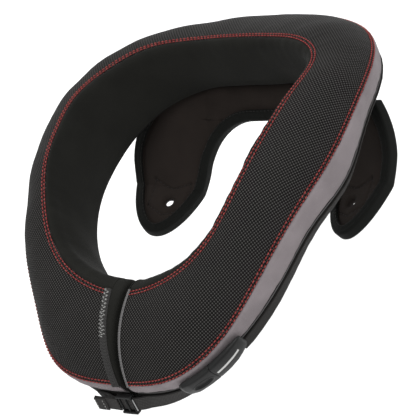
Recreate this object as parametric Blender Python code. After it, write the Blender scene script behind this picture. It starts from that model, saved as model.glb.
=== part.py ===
"""Padded neck brace: a split foam collar with its covers, a buckled rim strap and a shoulder yoke.

Frame: metres, +Z up along the neck, -Y to the front where the collar splits, +X to the wearer's
left. The origin is the middle of the neck opening at the level of the collar's foot.
"""
import math
from collections import namedtuple

import bmesh
import bpy
from mathutils import Vector

# Driving sizes of the foam collar
NECK_RADIUS = 0.083      # mean radius of the neck opening at the foot of the inner wall
ARCH_RISE = 0.011        # how far the sides of the foot arch above its front and back
WALL_HEIGHT = 0.052      # inner wall, foot to stitched top edge
LIP_WIDTH = 0.0075       # roll of the lining over the top of the inner wall
LIP_DEPTH = 0.009        # how far below the top edge the roll starts
WALL_BULGE = 0.003       # padding of the inner wall
PANEL_REACH = 0.035      # sloping top panel, measured outwards
PANEL_DROP = 0.028       # sloping top panel, measured downwards
PANEL_CROWN = 0.0055     # padding of the top panel above a straight slope
SIDE_CROWN = 0.0008      # padding of the side panel
RIM_HEIGHT = 0.016       # side panel under the outer seam
HEM_WIDTH = 0.012        # turned-under hem that carries the strap

# Cloth and clearances
COVER = 0.0015           # cover cloth
GAP = 0.0003             # clearance between pieces that touch
WEBBING = 0.0014         # webbing thickness

# Front split
SPLIT = 0.0030           # space between the two ends of the collar
SPLIT_SHIFT = 0.0026     # how far the split lies towards the wearer's left
LEFT_CAP = 0.0020        # sewn-on end of the wearer's left half
RIGHT_CAP_INNER = 0.0090  # soft end of the wearer's right half, at the neck
RIGHT_CAP_OUTER = 0.0010  # the same at the outer seam
CAP_ROUND = 0.0030       # rounding of both ends
EDGE_BAND = 0.0052       # gathered elastic over the wearer's right edge
EDGE_BAND_RAISE = 0.0012
PIPING = 0.0014          # cut-edge piping on the wearer's left edge
PIPING_RAISE = 0.0010

# Strap, slider and buckle
RIM_STRAP_START = 31.5   # degrees from the front, towards the wearer's left
RIM_STRAP_END = 336.0
FRONT_STRAP_START = -9.5
FRONT_STRAP_END = 18.5
FRONT_STRAP_WIDTH = 0.0092
SLIDER_MIDDLE = -0.8
SLIDER_LENGTH = 0.0105
SLIDER_RAIL = 0.0014
SLIDER_WINDOW = 0.0017   # length of each of its two windows
SLIDER_LIFT = 0.0022
TAIL_LENGTH = 0.0175
TAIL_FOLD = 0.0085       # folded and sewn end of the tail
BUCKLE_START = 16.5
BUCKLE_MOUTH = 25.0
BUCKLE_END = 33.5
BUCKLE_WIDTH = 0.0160
BUCKLE_THICKNESS = 0.0046
BUCKLE_MIDDLE = 0.0026   # middle of the buckle above the hem corner
BUCKLE_CORNER = 0.0022
TONGUE_WIDTH = 0.0096
TONGUE_THICKNESS = 0.0020
TONGUE_TURN = 6.0
TONGUE_CLEARANCE = 0.0005
THUMB_RECESS_LENGTH = 0.0110
THUMB_RECESS_WIDTH = 0.0060
THUMB_RECESS_DEPTH = 0.0012
THUMB_RECESS_OFFSET = 1.2  # degrees from the middle of the plug towards the mouth

# Shoulder yoke
YOKE_THICKNESS = 0.0050
TAB_MIDDLE = 0.0750      # middle of the tab's tip, sideways from the neck axis
TAB_ROUND = 0.0198       # half width of the rounded tip
TAB_FLARE_IN = 0.0040    # how much wider the tab gets on its inner side, up to the arch
TAB_FLARE_OUT = 0.0052   # the same on its outer side
TAB_TIP = -0.0148        # how far forward the tab reaches
TAB_FLAT_END = 0.0180    # the tab is flat up to here, then bends up to the collar
TAB_LEVEL = -0.0448      # middle of the tab's sheet at its inner edge
TAB_TILT = 0.240         # rise of the tab per metre outwards
TAB_HOLE = 0.0060        # diameter of the screw hole
TAB_HOLE_X = 0.0722
TAB_HOLE_Y = 0.0075
YOKE_RISE = 0.0340       # climb from the tabs to the collar's foot
YOKE_CLIMB_LENGTH = 0.0560
ARCH_END = 0.0592        # top of the opening between the tabs
ARCH_CORNER_X = 0.0350
ARCH_CORNER_Y = 0.0277
YOKE_CLIMB_CURVE = 0.45  # share of the climb that steepens towards the back
YOKE_NARROWING = 0.30    # share by which the sheet narrows to its back edge
YOKE_BACK_MARGIN = 0.0080  # the yoke's back edge lies this far inside the hem
BINDING_WIDTH = 0.0048
BINDING_CLOTH = 0.0010
BINDING_EASE = 0.0007    # the tape's inner edges stand this much further off the sheet

# Fineness of the faceted shapes
SHARP_ANGLE = 35.0
MERGE = 1e-6
MITRE_LIMIT = 0.6
HOLE_SIDES = 16
COLUMNS = 6              # facets across each half of the yoke

# Sections of one half of the collar. Each row is a share of the named size.
Section = namedtuple("Section", "turn foot base top lip wall reach drop crown rim flare hem tuck")
SECTIONS = (
    Section(0, 1.130, -1.02, 1.235, 1.60, 0.98, 1.34, 1.04, 1.50, 0.62, -0.12, 0.95, -0.35),
    Section(15, 1.125, -0.77, 1.225, 1.35, 0.98, 1.42, 1.01, 1.40, 0.60, -0.12, 0.90, 0.18),
    Section(30, 1.100, -0.15, 1.190, 1.00, 0.96, 1.16, 1.03, 1.20, 0.70, -0.10, 0.93, 0.42),
    Section(45, 1.050, 0.53, 1.105, 0.65, 0.955, 0.95, 0.92, 1.05, 0.92, 0.01, 1.00, 0.52),
    Section(60, 0.985, 0.96, 1.020, 0.45, 0.99, 0.89, 0.92, 1.00, 0.96, -0.05, 0.93, 0.60),
    Section(75, 0.945, 1.02, 0.980, 0.35, 1.03, 0.90, 0.97, 1.00, 1.10, -0.09, 0.91, 0.70),
    Section(90, 0.950, 0.76, 0.980, 0.40, 1.06, 0.94, 0.94, 1.05, 1.14, -0.17, 0.98, 0.80),
    Section(105, 1.000, 0.35, 1.035, 0.50, 1.065, 0.91, 0.87, 1.10, 0.99, -0.31, 1.00, 1.05),
    Section(120, 1.050, -0.06, 1.110, 0.70, 0.97, 0.875, 0.81, 1.20, 0.96, -0.34, 0.95, 1.08),
    Section(135, 1.053, -0.38, 1.105, 0.80, 0.93, 0.95, 0.995, 1.35, 0.87, -0.25, 0.86, 0.90),
    Section(150, 1.000, -0.61, 1.015, 0.80, 0.925, 1.14, 1.265, 1.30, 0.85, -0.12, 0.70, 0.70),
    Section(165, 0.930, -0.75, 0.950, 0.80, 0.91, 1.275, 1.42, 1.10, 0.80, 0.00, 0.59, 0.55),
    Section(180, 0.895, -0.79, 0.920, 0.80, 0.925, 1.33, 1.49, 1.00, 0.78, 0.05, 0.55, 0.50),
)
# Cover spans along a section, as first and last corner, and how many facets each stretch has
WALL_FACETS, LIP_FACETS, PANEL_FACETS, RIM_FACETS, HEM_FACETS, FOOT_FACETS = 4, 3, 6, 2, 1, 3
STEP = 8                 # degrees between ordinary sections


def around(column, turn):
    """Smooth even curve through one column of the section table, at an angle in radians."""
    values = [getattr(row, column) for row in SECTIONS]
    last = len(values) - 1
    total = 0.0
    for order in range(last + 1):
        weight = 0.5 if order in (0, last) else 1.0
        part = sum((0.5 if i in (0, last) else 1.0) * v * math.cos(math.pi * order * i / last)
                   for i, v in enumerate(values))
        total += weight * part * 2.0 / last * math.cos(order * turn)
    return total


def corners(turn):
    """Named corners of the section, as radius and height."""
    foot = Vector((around("foot", turn) * NECK_RADIUS, around("base", turn) * ARCH_RISE))
    top = Vector((around("top", turn) * NECK_RADIUS, foot.y + around("wall", turn) * WALL_HEIGHT))
    seam = top + Vector((around("reach", turn) * PANEL_REACH, -around("drop", turn) * PANEL_DROP))
    hem = seam + Vector((around("flare", turn), -around("rim", turn))) * RIM_HEIGHT
    under = hem + Vector((-around("tuck", turn), -around("hem", turn))) * HEM_WIDTH
    return foot, top, seam, hem, under


def stretch(start, end, facets, bulge):
    """Points from start up to but not including end, padded outwards by bulge."""
    along = end - start
    out = Vector((-along.y, along.x)).normalized()
    for i in range(facets):
        share = i / facets
        yield start + along * share + out * bulge * 4 * share * (1 - share)


def section(turn):
    """Closed outline of the collar: up the inner wall, over the top, down the rim and back."""
    foot, top, seam, hem, under = corners(turn)
    roll = around("lip", turn) * LIP_WIDTH
    lip = Vector((top.x - roll, top.y - LIP_DEPTH))
    points = list(stretch(foot, lip, WALL_FACETS, WALL_BULGE))
    for i in range(LIP_FACETS):
        angle = math.pi / 2 * i / LIP_FACETS
        points.append(Vector((top.x - roll * math.cos(angle), lip.y + LIP_DEPTH * math.sin(angle))))
    points += stretch(top, seam, PANEL_FACETS, around("crown", turn) * PANEL_CROWN)
    points += stretch(seam, hem, RIM_FACETS, SIDE_CROWN)
    points += stretch(hem, under, HEM_FACETS, 0)
    points += stretch(under, foot, FOOT_FACETS, 0)
    return points


FOOT = 0
TOP = WALL_FACETS + LIP_FACETS
SEAM = TOP + PANEL_FACETS
HEM = SEAM + RIM_FACETS
UNDER = HEM + HEM_FACETS
AROUND = UNDER + FOOT_FACETS


def offset_line(turn, first, last, distance, trim):
    """Part of the section from one corner to another, moved outwards by distance."""
    points = section(turn)
    count = len(points)
    line = []
    for i in range(first, last + 1):
        before, here, after = (points[(i + k) % count] for k in (-1, 0, 1))
        one, two = (here - before).normalized(), (after - here).normalized()
        normals = Vector((-one.y, one.x)), Vector((-two.y, two.x))
        mean = (normals[0] + normals[1]).normalized()
        line.append(here + mean * distance / max(MITRE_LIMIT, mean.dot(normals[0])))
    if trim:
        line[0] += (line[1] - line[0]).normalized() * trim
        line[-1] += (line[-2] - line[-1]).normalized() * trim
    return line


Place = namedtuple("Place", "side value")


def cap_length(side, radius):
    """Length of the soft end at a given radius of the split."""
    if side == "left":
        return LEFT_CAP
    foot, top, seam, hem, under = corners(0.0)
    share = min(1.0, max(0.0, (radius - foot.x) / (seam.x - foot.x)))
    return RIGHT_CAP_INNER + (RIGHT_CAP_OUTER - RIGHT_CAP_INNER) * share


def turn_at(place, radius):
    """Angle of a place: plain degrees, or a distance behind the soft end of one half."""
    if place.side == "turn":
        return math.radians(place.value)
    depth = SPLIT / 2 + place.value + (SPLIT_SHIFT if "left" in place.side else -SPLIT_SHIFT)
    if place.side == "left":
        return math.asin((depth + cap_length("left", radius)) / radius)
    if place.side == "right":
        return 2 * math.pi - math.asin((depth + cap_length("right", radius)) / radius)
    if place.side == "left_face":
        return math.asin(depth / radius)
    return 2 * math.pi - math.asin(depth / radius)


def spot(radius, height, turn):
    return Vector((radius * math.sin(turn), -radius * math.cos(turn), height))


def placed_line(place, first, last, distance, trim=0.0):
    """The moved line of a section, set in space at a place."""
    nominal = turn_at(place, corners(0.0)[2].x)
    return [spot(p.x, p.y, turn_at(place, p.x)) for p in offset_line(nominal, first, last, distance, trim)]


def build(name, points, faces, colour, roughness, metallic=0.0):
    """Make one closed object with its own material."""
    mesh = bpy.data.meshes.new(name)
    mesh.from_pydata([tuple(p) for p in points], [], faces)
    shape = bmesh.new()
    shape.from_mesh(mesh)
    bmesh.ops.remove_doubles(shape, verts=shape.verts, dist=MERGE)
    bmesh.ops.recalc_face_normals(shape, faces=shape.faces)
    shape.to_mesh(mesh)
    shape.free()
    mesh.shade_smooth()
    mesh.set_sharp_from_angle(angle=math.radians(SHARP_ANGLE))
    material = bpy.data.materials.new(name)
    material.use_nodes = True
    shader = material.node_tree.nodes["Principled BSDF"]
    shader.inputs["Base Color"].default_value = (*colour, 1.0)
    shader.inputs["Roughness"].default_value = roughness
    shader.inputs["Metallic"].default_value = metallic
    mesh.materials.append(material)
    item = bpy.data.objects.new(name, mesh)
    bpy.context.collection.objects.link(item)
    return item


def loft(name, loops, finish, ends="fan", ring=False):
    """Skin a row of loops. Thin loops, outside then inside, are closed by a strip of quads."""
    count = len(loops[0])
    points = [p for loop in loops for p in loop]
    faces = []
    rows = len(loops) if ring else len(loops) - 1
    for k in range(rows):
        a, b = k * count, ((k + 1) % len(loops)) * count
        for i in range(count):
            j = (i + 1) % count
            if ends == "strip" and i >= count // 2:
                faces += [(a + i, a + j, b + i), (a + j, b + j, b + i)]
            else:
                faces += [(a + i, a + j, b + j), (a + i, b + j, b + i)]
    if not ring:
        for a in (0, (len(loops) - 1) * count):
            if ends == "fan":
                faces.append(tuple(range(a, a + count)))
            else:
                for i in range(count // 2 - 1):
                    faces.append((a + i, a + i + 1, a + count - 2 - i, a + count - 1 - i))
    return build(name, points, faces, *finish)


def whole_turn(start, end):
    """Ordinary sections between two places, then those that the gathered band lies on."""
    middle = [Place("turn", v) for v in range(STEP, 360 - 2 * STEP + 1, STEP)]
    band = [Place("right", GAP + EDGE_BAND), Place("right", GAP + EDGE_BAND / 2)]
    return [start] + middle + band + [end]


def cover(name, places, corners_of, outside, thickness, finish, trim=GAP / 2):
    """Cloth shell over one stretch of the section; outside is its outer face above the outline."""
    first, last = corners_of
    loops = []
    for place in places:
        outer = placed_line(place, first, last, outside, trim)
        inner = placed_line(place, first, last, outside - thickness, trim)
        loops.append(outer + inner[::-1])
    return loft(name, loops, finish, ends="strip")


def foam_core(finish):
    """Foam of the collar, inside all the covers."""
    places = whole_turn(Place("left", GAP), Place("right", GAP))
    loops = [placed_line(p, 0, AROUND - 1, -COVER - GAP) for p in places]
    return loft("foam_core", loops, finish)


def end_cap(name, side, finish):
    """Soft rounded end of one half of the collar."""
    face = side + "_face"
    loops = [placed_line(Place(side, 0.0), 0, AROUND - 1, 0.0)]
    for angle in (30, 60, 90):
        pull = CAP_ROUND * (1 - math.cos(math.radians(angle)))
        depth = min(LEFT_CAP, CAP_ROUND) * (1 - math.sin(math.radians(angle)))
        loops.append(placed_line(Place(face, depth), 0, AROUND - 1, -pull))
    return loft(name, loops, finish)


def edge_trim(name, side, width, raise_by, finish):
    """Trim laid on the top panel along the edge of one half."""
    places = [Place(side, GAP), Place(side, GAP + width / 2), Place(side, GAP + width)]
    return cover(name, places, (TOP, SEAM), GAP + raise_by, raise_by, finish, trim=GAP)


def strap_places(start, end, step):
    """Places along the rim, on the same angles as the covers under the strap."""
    first = math.floor(start / step) + 1
    inside = [i * step for i in range(first, math.ceil(end / step))]
    return [Place("turn", v) for v in [start] + inside + [end]]


def rim_frame(turn):
    """Hem corner, outward direction and upward direction of the rim at an angle."""
    foot, top, seam, hem, under = corners(turn)
    up = (seam - under).normalized()
    out = Vector((up.y, -up.x))
    return hem, out, up


def hem_frame(turn):
    """Hem corner, outward direction and upward direction of the hem itself."""
    foot, top, seam, hem, under = corners(turn)
    up = (hem - under).normalized()
    return hem, Vector((up.y, -up.x)), up


def rim_spot(degrees, outward, upward, frame=rim_frame):
    turn = math.radians(degrees)
    hem, out, up = frame(turn)
    p = hem + out * outward + up * upward
    return spot(p.x, p.y, turn)


def rim_turn(length):
    """Degrees of the rim taken up by a length."""
    return math.degrees(length / corners(0.0)[3].x)


STRAP_HEIGHT = -HEM_WIDTH / 2      # middle of the webbing below the hem corner
STRAP_HALF = HEM_WIDTH / 2 - GAP
FRONT_HALF = FRONT_STRAP_WIDTH / 2


def strap(name, places, lift, half, finish):
    """Webbing that lies on the hem."""
    loops = []
    for place in places:
        low = GAP + lift(place.value)
        loops.append([rim_spot(place.value, low + dy * WEBBING, STRAP_HEIGHT + dx * half, hem_frame)
                      for dx, dy in ((1, 1), (-1, 1), (-1, 0), (1, 0))])
    return loft(name, loops, finish, ends="strip")


def bar_outline(degrees, low, high, half_width, corner, middle=0.0, frame=rim_frame):
    """Rounded bar section that lies along the rim."""
    points = []
    for sx, sy, start in ((1, 1, 0), (-1, 1, 90), (-1, -1, 180), (1, -1, 270)):
        cx = middle + sx * (half_width - corner)
        cy = (high - corner) if sy > 0 else (low + corner)
        for step in range(3):
            angle = math.radians(start + 45 * step)
            points.append(rim_spot(degrees, cy + corner * math.sin(angle), cx + corner * math.cos(angle),
                                   frame))
    return points


BuckleRow = namedtuple("BuckleRow", "along width droop")
SOCKET_ROWS = (
    BuckleRow(0.0, 1.0, 0.0),
    BuckleRow(0.3, 1.0, 0.0),
    BuckleRow(0.6, 0.94, 0.0004),
    BuckleRow(0.85, 0.80, 0.0014),
    BuckleRow(1.0, 0.66, 0.0026),
)
PLUG_ROWS = (
    BuckleRow(0.0, 0.42, 0.0030),
    BuckleRow(0.06, 0.66, 0.0016),
    BuckleRow(0.16, 0.84, 0.0006),
    BuckleRow(0.35, 0.97, 0.0),
    BuckleRow(0.7, 1.0, 0.0),
    BuckleRow(1.0, 1.0, 0.0),
)
BUCKLE_LOW = 2 * GAP + WEBBING
BUCKLE_HIGH = BUCKLE_LOW + BUCKLE_THICKNESS
TONGUE_LOW = BUCKLE_LOW + (BUCKLE_THICKNESS - TONGUE_THICKNESS) / 2


def buckle_shape(start, end, row):
    """One section of the buckle between two angles; its row narrows and thins it."""
    half = BUCKLE_WIDTH / 2 * row.width
    high = BUCKLE_HIGH - row.droop
    corner = min(BUCKLE_CORNER, half / 2, (high - BUCKLE_LOW) * 0.45)
    return bar_outline(start + (end - start) * row.along, BUCKLE_LOW, high, half, corner, BUCKLE_MIDDLE)


def tongue_shape(degrees, clearance):
    return bar_outline(degrees, TONGUE_LOW - clearance, TONGUE_LOW + TONGUE_THICKNESS + clearance,
                       TONGUE_WIDTH / 2 + clearance, TONGUE_THICKNESS * 0.4, BUCKLE_MIDDLE)


def buckle_socket(finish):
    """Hollow half of the side-release buckle, on the rim strap."""
    mouth = BUCKLE_MOUTH + rim_turn(GAP)
    depth = BUCKLE_MOUTH + TONGUE_TURN + rim_turn(2 * TONGUE_CLEARANCE)
    loops = [tongue_shape(depth, TONGUE_CLEARANCE), tongue_shape(mouth, TONGUE_CLEARANCE)]
    loops += [buckle_shape(mouth, BUCKLE_END, row) for row in SOCKET_ROWS]
    return loft("buckle_socket", loops, finish)


def buckle_plug(finish):
    """Pronged half of the buckle, with its tongue inside the socket."""
    loops = [buckle_shape(BUCKLE_START, BUCKLE_MOUTH, row) for row in PLUG_ROWS]
    loops.append(tongue_shape(BUCKLE_MOUTH, 0.0))
    loops.append(tongue_shape(BUCKLE_MOUTH + TONGUE_TURN, 0.0))
    plug = loft("buckle_plug", loops, finish)
    middle = (BUCKLE_START + BUCKLE_MOUTH) / 2 + THUMB_RECESS_OFFSET
    loops = []
    for level, flare in ((-THUMB_RECESS_DEPTH, 0.8), (2 * THUMB_RECESS_DEPTH, 1.2)):
        loops.append([rim_spot(middle + rim_turn(THUMB_RECESS_LENGTH / 2 * flare * math.cos(angle)),
                               BUCKLE_HIGH + level,
                               BUCKLE_MIDDLE + THUMB_RECESS_WIDTH / 2 * flare * math.sin(angle))
                      for angle in circle()])
    carve(plug, loft("thumb_recess", loops, finish))
    return plug


def circle():
    """Angles round a hole."""
    return [2 * math.pi * i / HOLE_SIDES for i in range(HOLE_SIDES)]


def carve(item, cutter):
    """Cut a hole in an item."""
    cutter.hide_render = True
    cutter.display_type = "WIRE"
    cut = item.modifiers.new(cutter.name, "BOOLEAN")
    cut.operation = "DIFFERENCE"
    cut.object = cutter


def slider_lift(degrees):
    """How far the front strap stands off the hem: it is raised where it threads the slider."""
    reach = rim_turn(SLIDER_LENGTH)
    away = abs(degrees - SLIDER_MIDDLE) / reach
    return SLIDER_LIFT * max(0.0, min(1.0, 1.6 - away))


def strap_tail(finish):
    """Free end of the webbing, straight out of the slider, with its end folded back."""
    start = SLIDER_MIDDLE - rim_turn(SLIDER_LENGTH / 2 + GAP)
    turn = math.radians(start)
    along = Vector((-math.cos(turn), -math.sin(turn), 0.0))
    low = 2 * GAP + SLIDER_LIFT + WEBBING
    fold = TAIL_LENGTH - TAIL_FOLD
    loops = []
    for length, layers in ((0, 1), (fold, 1), (fold, 2), (TAIL_LENGTH, 2)):
        high = low + layers * WEBBING
        loops.append([rim_spot(start, level, STRAP_HEIGHT + side * FRONT_HALF, hem_frame) + along * length
                      for side, level in ((1, high), (-1, high), (-1, low), (1, low))])
    return loft("strap_tail", loops, finish, ends="strip")


def strap_slider(finish):
    """Slider frame round the front strap, with a window over its middle bar."""
    half = rim_turn(SLIDER_LENGTH / 2)
    window = rim_turn(SLIDER_WINDOW / 2)
    inner_half = FRONT_HALF + GAP
    low, high = SLIDER_LIFT, SLIDER_LIFT + WEBBING + 2 * GAP
    loops = []
    for side, grow in ((-1, 1), (1, 1), (1, 0), (-1, 0)):
        wall = SLIDER_RAIL * grow
        loops.append(bar_outline(SLIDER_MIDDLE + side * half, low - wall, high + wall, inner_half + wall,
                                 GAP + wall * 0.4, STRAP_HEIGHT, hem_frame))
    frame = loft("strap_slider", loops, finish, ring=True)
    for index, middle in enumerate((-half / 2, half / 2)):
        loops = [bar_outline(SLIDER_MIDDLE + middle + side * window, high - GAP / 2, high + 2 * SLIDER_RAIL,
                             inner_half - SLIDER_RAIL / 2, GAP / 2, STRAP_HEIGHT, hem_frame)
                 for side in (-1, 1)]
        carve(frame, loft("slider_window_%d" % index, loops, finish))
    return frame


# Yoke

def foot_height(x, y):
    """Height of the collar's foot cloth above a point of the plan."""
    radius, turn = math.hypot(x, y), math.atan2(abs(x), -y)
    foot, top, seam, hem, under = corners(turn)
    share = (radius - foot.x) / (under.x - foot.x)
    return foot.y + (under.y - foot.y) * min(1.2, max(-0.4, share))


def yoke_height(x, y):
    """Height of the middle of the yoke's sheet: flat tabs, then a climb to the collar's foot."""
    inner = TAB_MIDDLE - TAB_ROUND - TAB_FLARE_IN
    climb = max(0.0, y - TAB_FLAT_END) / YOKE_CLIMB_LENGTH
    height = TAB_LEVEL + TAB_TILT * (1 + climb) * max(0.0, abs(x) - inner)
    height += YOKE_RISE * climb * (1 - YOKE_CLIMB_CURVE + YOKE_CLIMB_CURVE * climb)
    if y > TAB_FLAT_END:
        ceiling = foot_height(x, y) - 2 * GAP - YOKE_THICKNESS / 2
        height = min(height, ceiling)
    return height


def yoke_spot(x, y, side):
    """Point on the yoke's upper or lower face."""
    step = 0.001
    middle = Vector((x, y, yoke_height(x, y)))
    sign = 1 if x >= 0 else -1
    across = (yoke_height(x, y) - yoke_height(x - sign * step, y)) / step * sign
    along = (yoke_height(x, y) - yoke_height(x, y - step)) / step
    normal = Vector((-across, -along, 1.0)).normalized()
    return middle + normal * side * YOKE_THICKNESS / 2


YokeRow = namedtuple("YokeRow", "y inner outer")


def back_edge(x):
    """Back edge of the yoke, which follows the hem of the collar."""
    low, high = 0.0, 0.2
    for _ in range(30):
        y = (low + high) / 2
        turn = math.atan2(x, -y)
        if math.hypot(x, y) < corners(turn)[4].x - YOKE_BACK_MARGIN:
            low = y
        else:
            high = y
    return low


def yoke_rows():
    """Rows of one half of the yoke, from the tip of the tab to the top of the arch."""
    arch_start = ARCH_END - ARCH_CORNER_Y
    rows = []
    for angle in (88, 75, 62, 50, 38, 26, 17, 8, 0):
        a = math.radians(angle)
        along = 1 - math.sin(a)
        half = TAB_ROUND * math.cos(a)
        rows.append(YokeRow(TAB_TIP + (arch_start - TAB_TIP) * along, TAB_MIDDLE - half - TAB_FLARE_IN * along,
                            TAB_MIDDLE + half + TAB_FLARE_OUT * along))
    inner, outer = rows[-1].inner, rows[-1].outer
    tucked = edge_under_foot(ARCH_END, outer)
    for angle in (22, 45, 68, 88):
        a = math.radians(angle)
        y = arch_start + ARCH_CORNER_Y * math.sin(a)
        x = inner - ARCH_CORNER_X * (1 - math.cos(a))
        rows.append(YokeRow(y, x, outer + (tucked - outer) * math.sin(a) ** 2))
    return rows


def edge_under_foot(y, x):
    """Widest the yoke may be, up to x, where it lies under the collar's foot."""
    while math.hypot(x, y) > corners(math.atan2(x, -y))[4].x and x > 0.01:
        x -= 0.0005
    return x


def yoke_grid():
    """Plan points of the right half: rows over the tab, then rows over the back."""
    rows = [[(r.inner + (r.outer - r.inner) * k / COLUMNS, r.y) for k in range(COLUMNS + 1)]
            for r in yoke_rows()]
    last = yoke_rows()[-1]
    for step in range(COLUMNS + 1):
        share = step / COLUMNS
        row = []
        for k in range(COLUMNS + 1):
            part = k / COLUMNS
            widest = last.outer * (1 - YOKE_NARROWING * share)
            x = widest * part
            front = ARCH_END + (last.y - ARCH_END) * part
            y = front + (back_edge(x) - front) * share
            row.append((x, y))
        rows.append(row)
    return rows


def yoke(finish):
    """Padded sheet with two tabs, closed over the back of the neck."""
    grid = yoke_grid()
    points, index = [], {}

    def corner(x, y, side):
        key = (round(x, 6), round(y, 6), side)
        if key not in index:
            index[key] = len(points)
            points.append(yoke_spot(x, y, side))
        return index[key]

    faces, edges = [], {}
    for mirror in (1, -1):
        for low, high in zip(grid[:-1], grid[1:]):
            for k in range(COLUMNS):
                for half in ((low[k], low[k + 1], high[k + 1]), (low[k], high[k + 1], high[k])):
                    triangle = [(x * mirror, y) for x, y in half[::mirror]]
                    keys = [(round(x, 6), round(y, 6)) for x, y in triangle]
                    if len(set(keys)) < 3:
                        continue
                    faces.append([corner(x, y, 1) for x, y in triangle])
                    faces.append([corner(x, y, -1) for x, y in reversed(triangle)])
                    for a, b in ((0, 1), (1, 2), (2, 0)):
                        uses = edges.setdefault(frozenset((keys[a], keys[b])), [])
                        uses.append((triangle[a], triangle[b]))
    for uses in edges.values():
        if len(uses) == 1:
            (a, b), = uses
            faces.append([corner(*b, 1), corner(*a, 1), corner(*a, -1), corner(*b, -1)])
    sheet = build("yoke", points, faces, *finish)
    for side in (1, -1):
        name = "left_tab_hole" if side > 0 else "right_tab_hole"
        middle = Vector((side * TAB_HOLE_X, TAB_HOLE_Y, yoke_height(TAB_HOLE_X, TAB_HOLE_Y)))
        lean = Vector((-side * TAB_TILT, 0, 1)).normalized()
        across = Vector((0, 1, 0))
        third = across.cross(lean)
        loops = []
        for level in (-YOKE_THICKNESS, YOKE_THICKNESS):
            loops.append([middle + lean * level + (across * math.cos(a) + third * math.sin(a)) * TAB_HOLE / 2
                          for a in circle()])
        carve(sheet, loft(name, loops, finish))
    return sheet


def yoke_outline():
    """Visible edge of the yoke in plan, from one shoulder round both tabs to the other."""
    rows = yoke_rows()
    half = [(r.outer, r.y) for r in reversed(rows)] + [(r.inner, r.y) for r in rows] + [(0.0, ARCH_END)]
    return half + [(-x, y) for x, y in reversed(half[:-1])]


def yoke_binding(finish):
    """Cloth folded over the visible edge of the yoke."""
    plan = yoke_outline()
    loops = []
    for i, (x, y) in enumerate(plan):
        before, after = plan[max(0, i - 1)], plan[min(len(plan) - 1, i + 1)]
        along = Vector((after[0] - before[0], after[1] - before[1])).normalized()
        out = Vector((-along.y, along.x))
        top, low = yoke_spot(x, y, 1), yoke_spot(x, y, -1)
        inward = (x - out.x * BINDING_WIDTH, y - out.y * BINDING_WIDTH)
        top_in, low_in = yoke_spot(*inward, 1), yoke_spot(*inward, -1)
        up = (top - low).normalized()
        side = Vector((out.x, out.y, 0))
        side = (side - up * side.dot(up)).normalized()
        near, far = GAP, GAP + BINDING_CLOTH
        loops.append([top_in + up * (far + BINDING_EASE), top + up * far, top + side * far,
                      low + side * far, low - up * far, low_in - up * (far + BINDING_EASE),
                      low_in - up * (near + BINDING_EASE), low - up * near, low + side * near,
                      top + side * near, top + up * near, top_in + up * (near + BINDING_EASE)])
    return loft("yoke_binding", loops, finish, ends="strip")


BALLISTIC_CLOTH = ((0.016, 0.016, 0.016), 0.75)
JERSEY = ((0.012, 0.012, 0.011), 0.9)
GREY_CLOTH = ((0.21, 0.18, 0.19), 0.8)
BLACK_CLOTH = ((0.014, 0.013, 0.012), 0.85)
FOAM = ((0.03, 0.03, 0.03), 0.95)
ELASTIC = ((0.05, 0.05, 0.05), 0.9)
PIPING_CLOTH = ((0.25, 0.25, 0.25), 0.7)
WEBBING_CLOTH = ((0.042, 0.036, 0.032), 0.8)
MOULDED = ((0.02, 0.021, 0.02), 0.4)
BINDING_TAPE = ((0.012, 0.012, 0.012), 0.85)


def main():
    for item in list(bpy.data.objects):
        bpy.data.objects.remove(item, do_unlink=True)
    ends = whole_turn(Place("left", GAP), Place("right", GAP))
    foam_core(FOAM)
    cover("lining", ends, (FOOT, TOP), 0.0, COVER, JERSEY)
    cover("top_panel", ends, (TOP, SEAM), 0.0, COVER, BALLISTIC_CLOTH)
    cover("side_panel", ends, (SEAM, HEM), 0.0, COVER, GREY_CLOTH)
    cover("base_panel", ends, (HEM, AROUND), 0.0, COVER, BLACK_CLOTH)
    end_cap("left_end_cap", "left", JERSEY)
    end_cap("right_end_cap", "right", JERSEY)
    edge_trim("gathered_edge", "right", EDGE_BAND, EDGE_BAND_RAISE, ELASTIC)
    edge_trim("edge_piping", "left", PIPING, PIPING_RAISE, PIPING_CLOTH)
    strap("rim_strap", strap_places(RIM_STRAP_START, RIM_STRAP_END, STEP), lambda turn: 0.0, STRAP_HALF,
          WEBBING_CLOTH)
    strap("front_strap", strap_places(FRONT_STRAP_START, FRONT_STRAP_END, 2), slider_lift, FRONT_HALF,
          WEBBING_CLOTH)
    strap_tail(WEBBING_CLOTH)
    strap_slider(MOULDED)
    buckle_socket(MOULDED)
    buckle_plug(MOULDED)
    yoke(BLACK_CLOTH)
    yoke_binding(BINDING_TAPE)


main()
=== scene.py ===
"""Looks of the padded neck brace: covers, stitching, webbing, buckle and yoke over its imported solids.

Frame: metres, +Z up along the neck, -Y to the front where the collar splits, +X to the wearer's
left. The collar's covers are worked out from one table of sections, a row for each angle.
"""
import math
from collections import namedtuple

import bmesh
import bpy
import numpy as np
from bpy.props import FloatProperty, FloatVectorProperty, PointerProperty
from mathutils import Matrix, Vector


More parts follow.
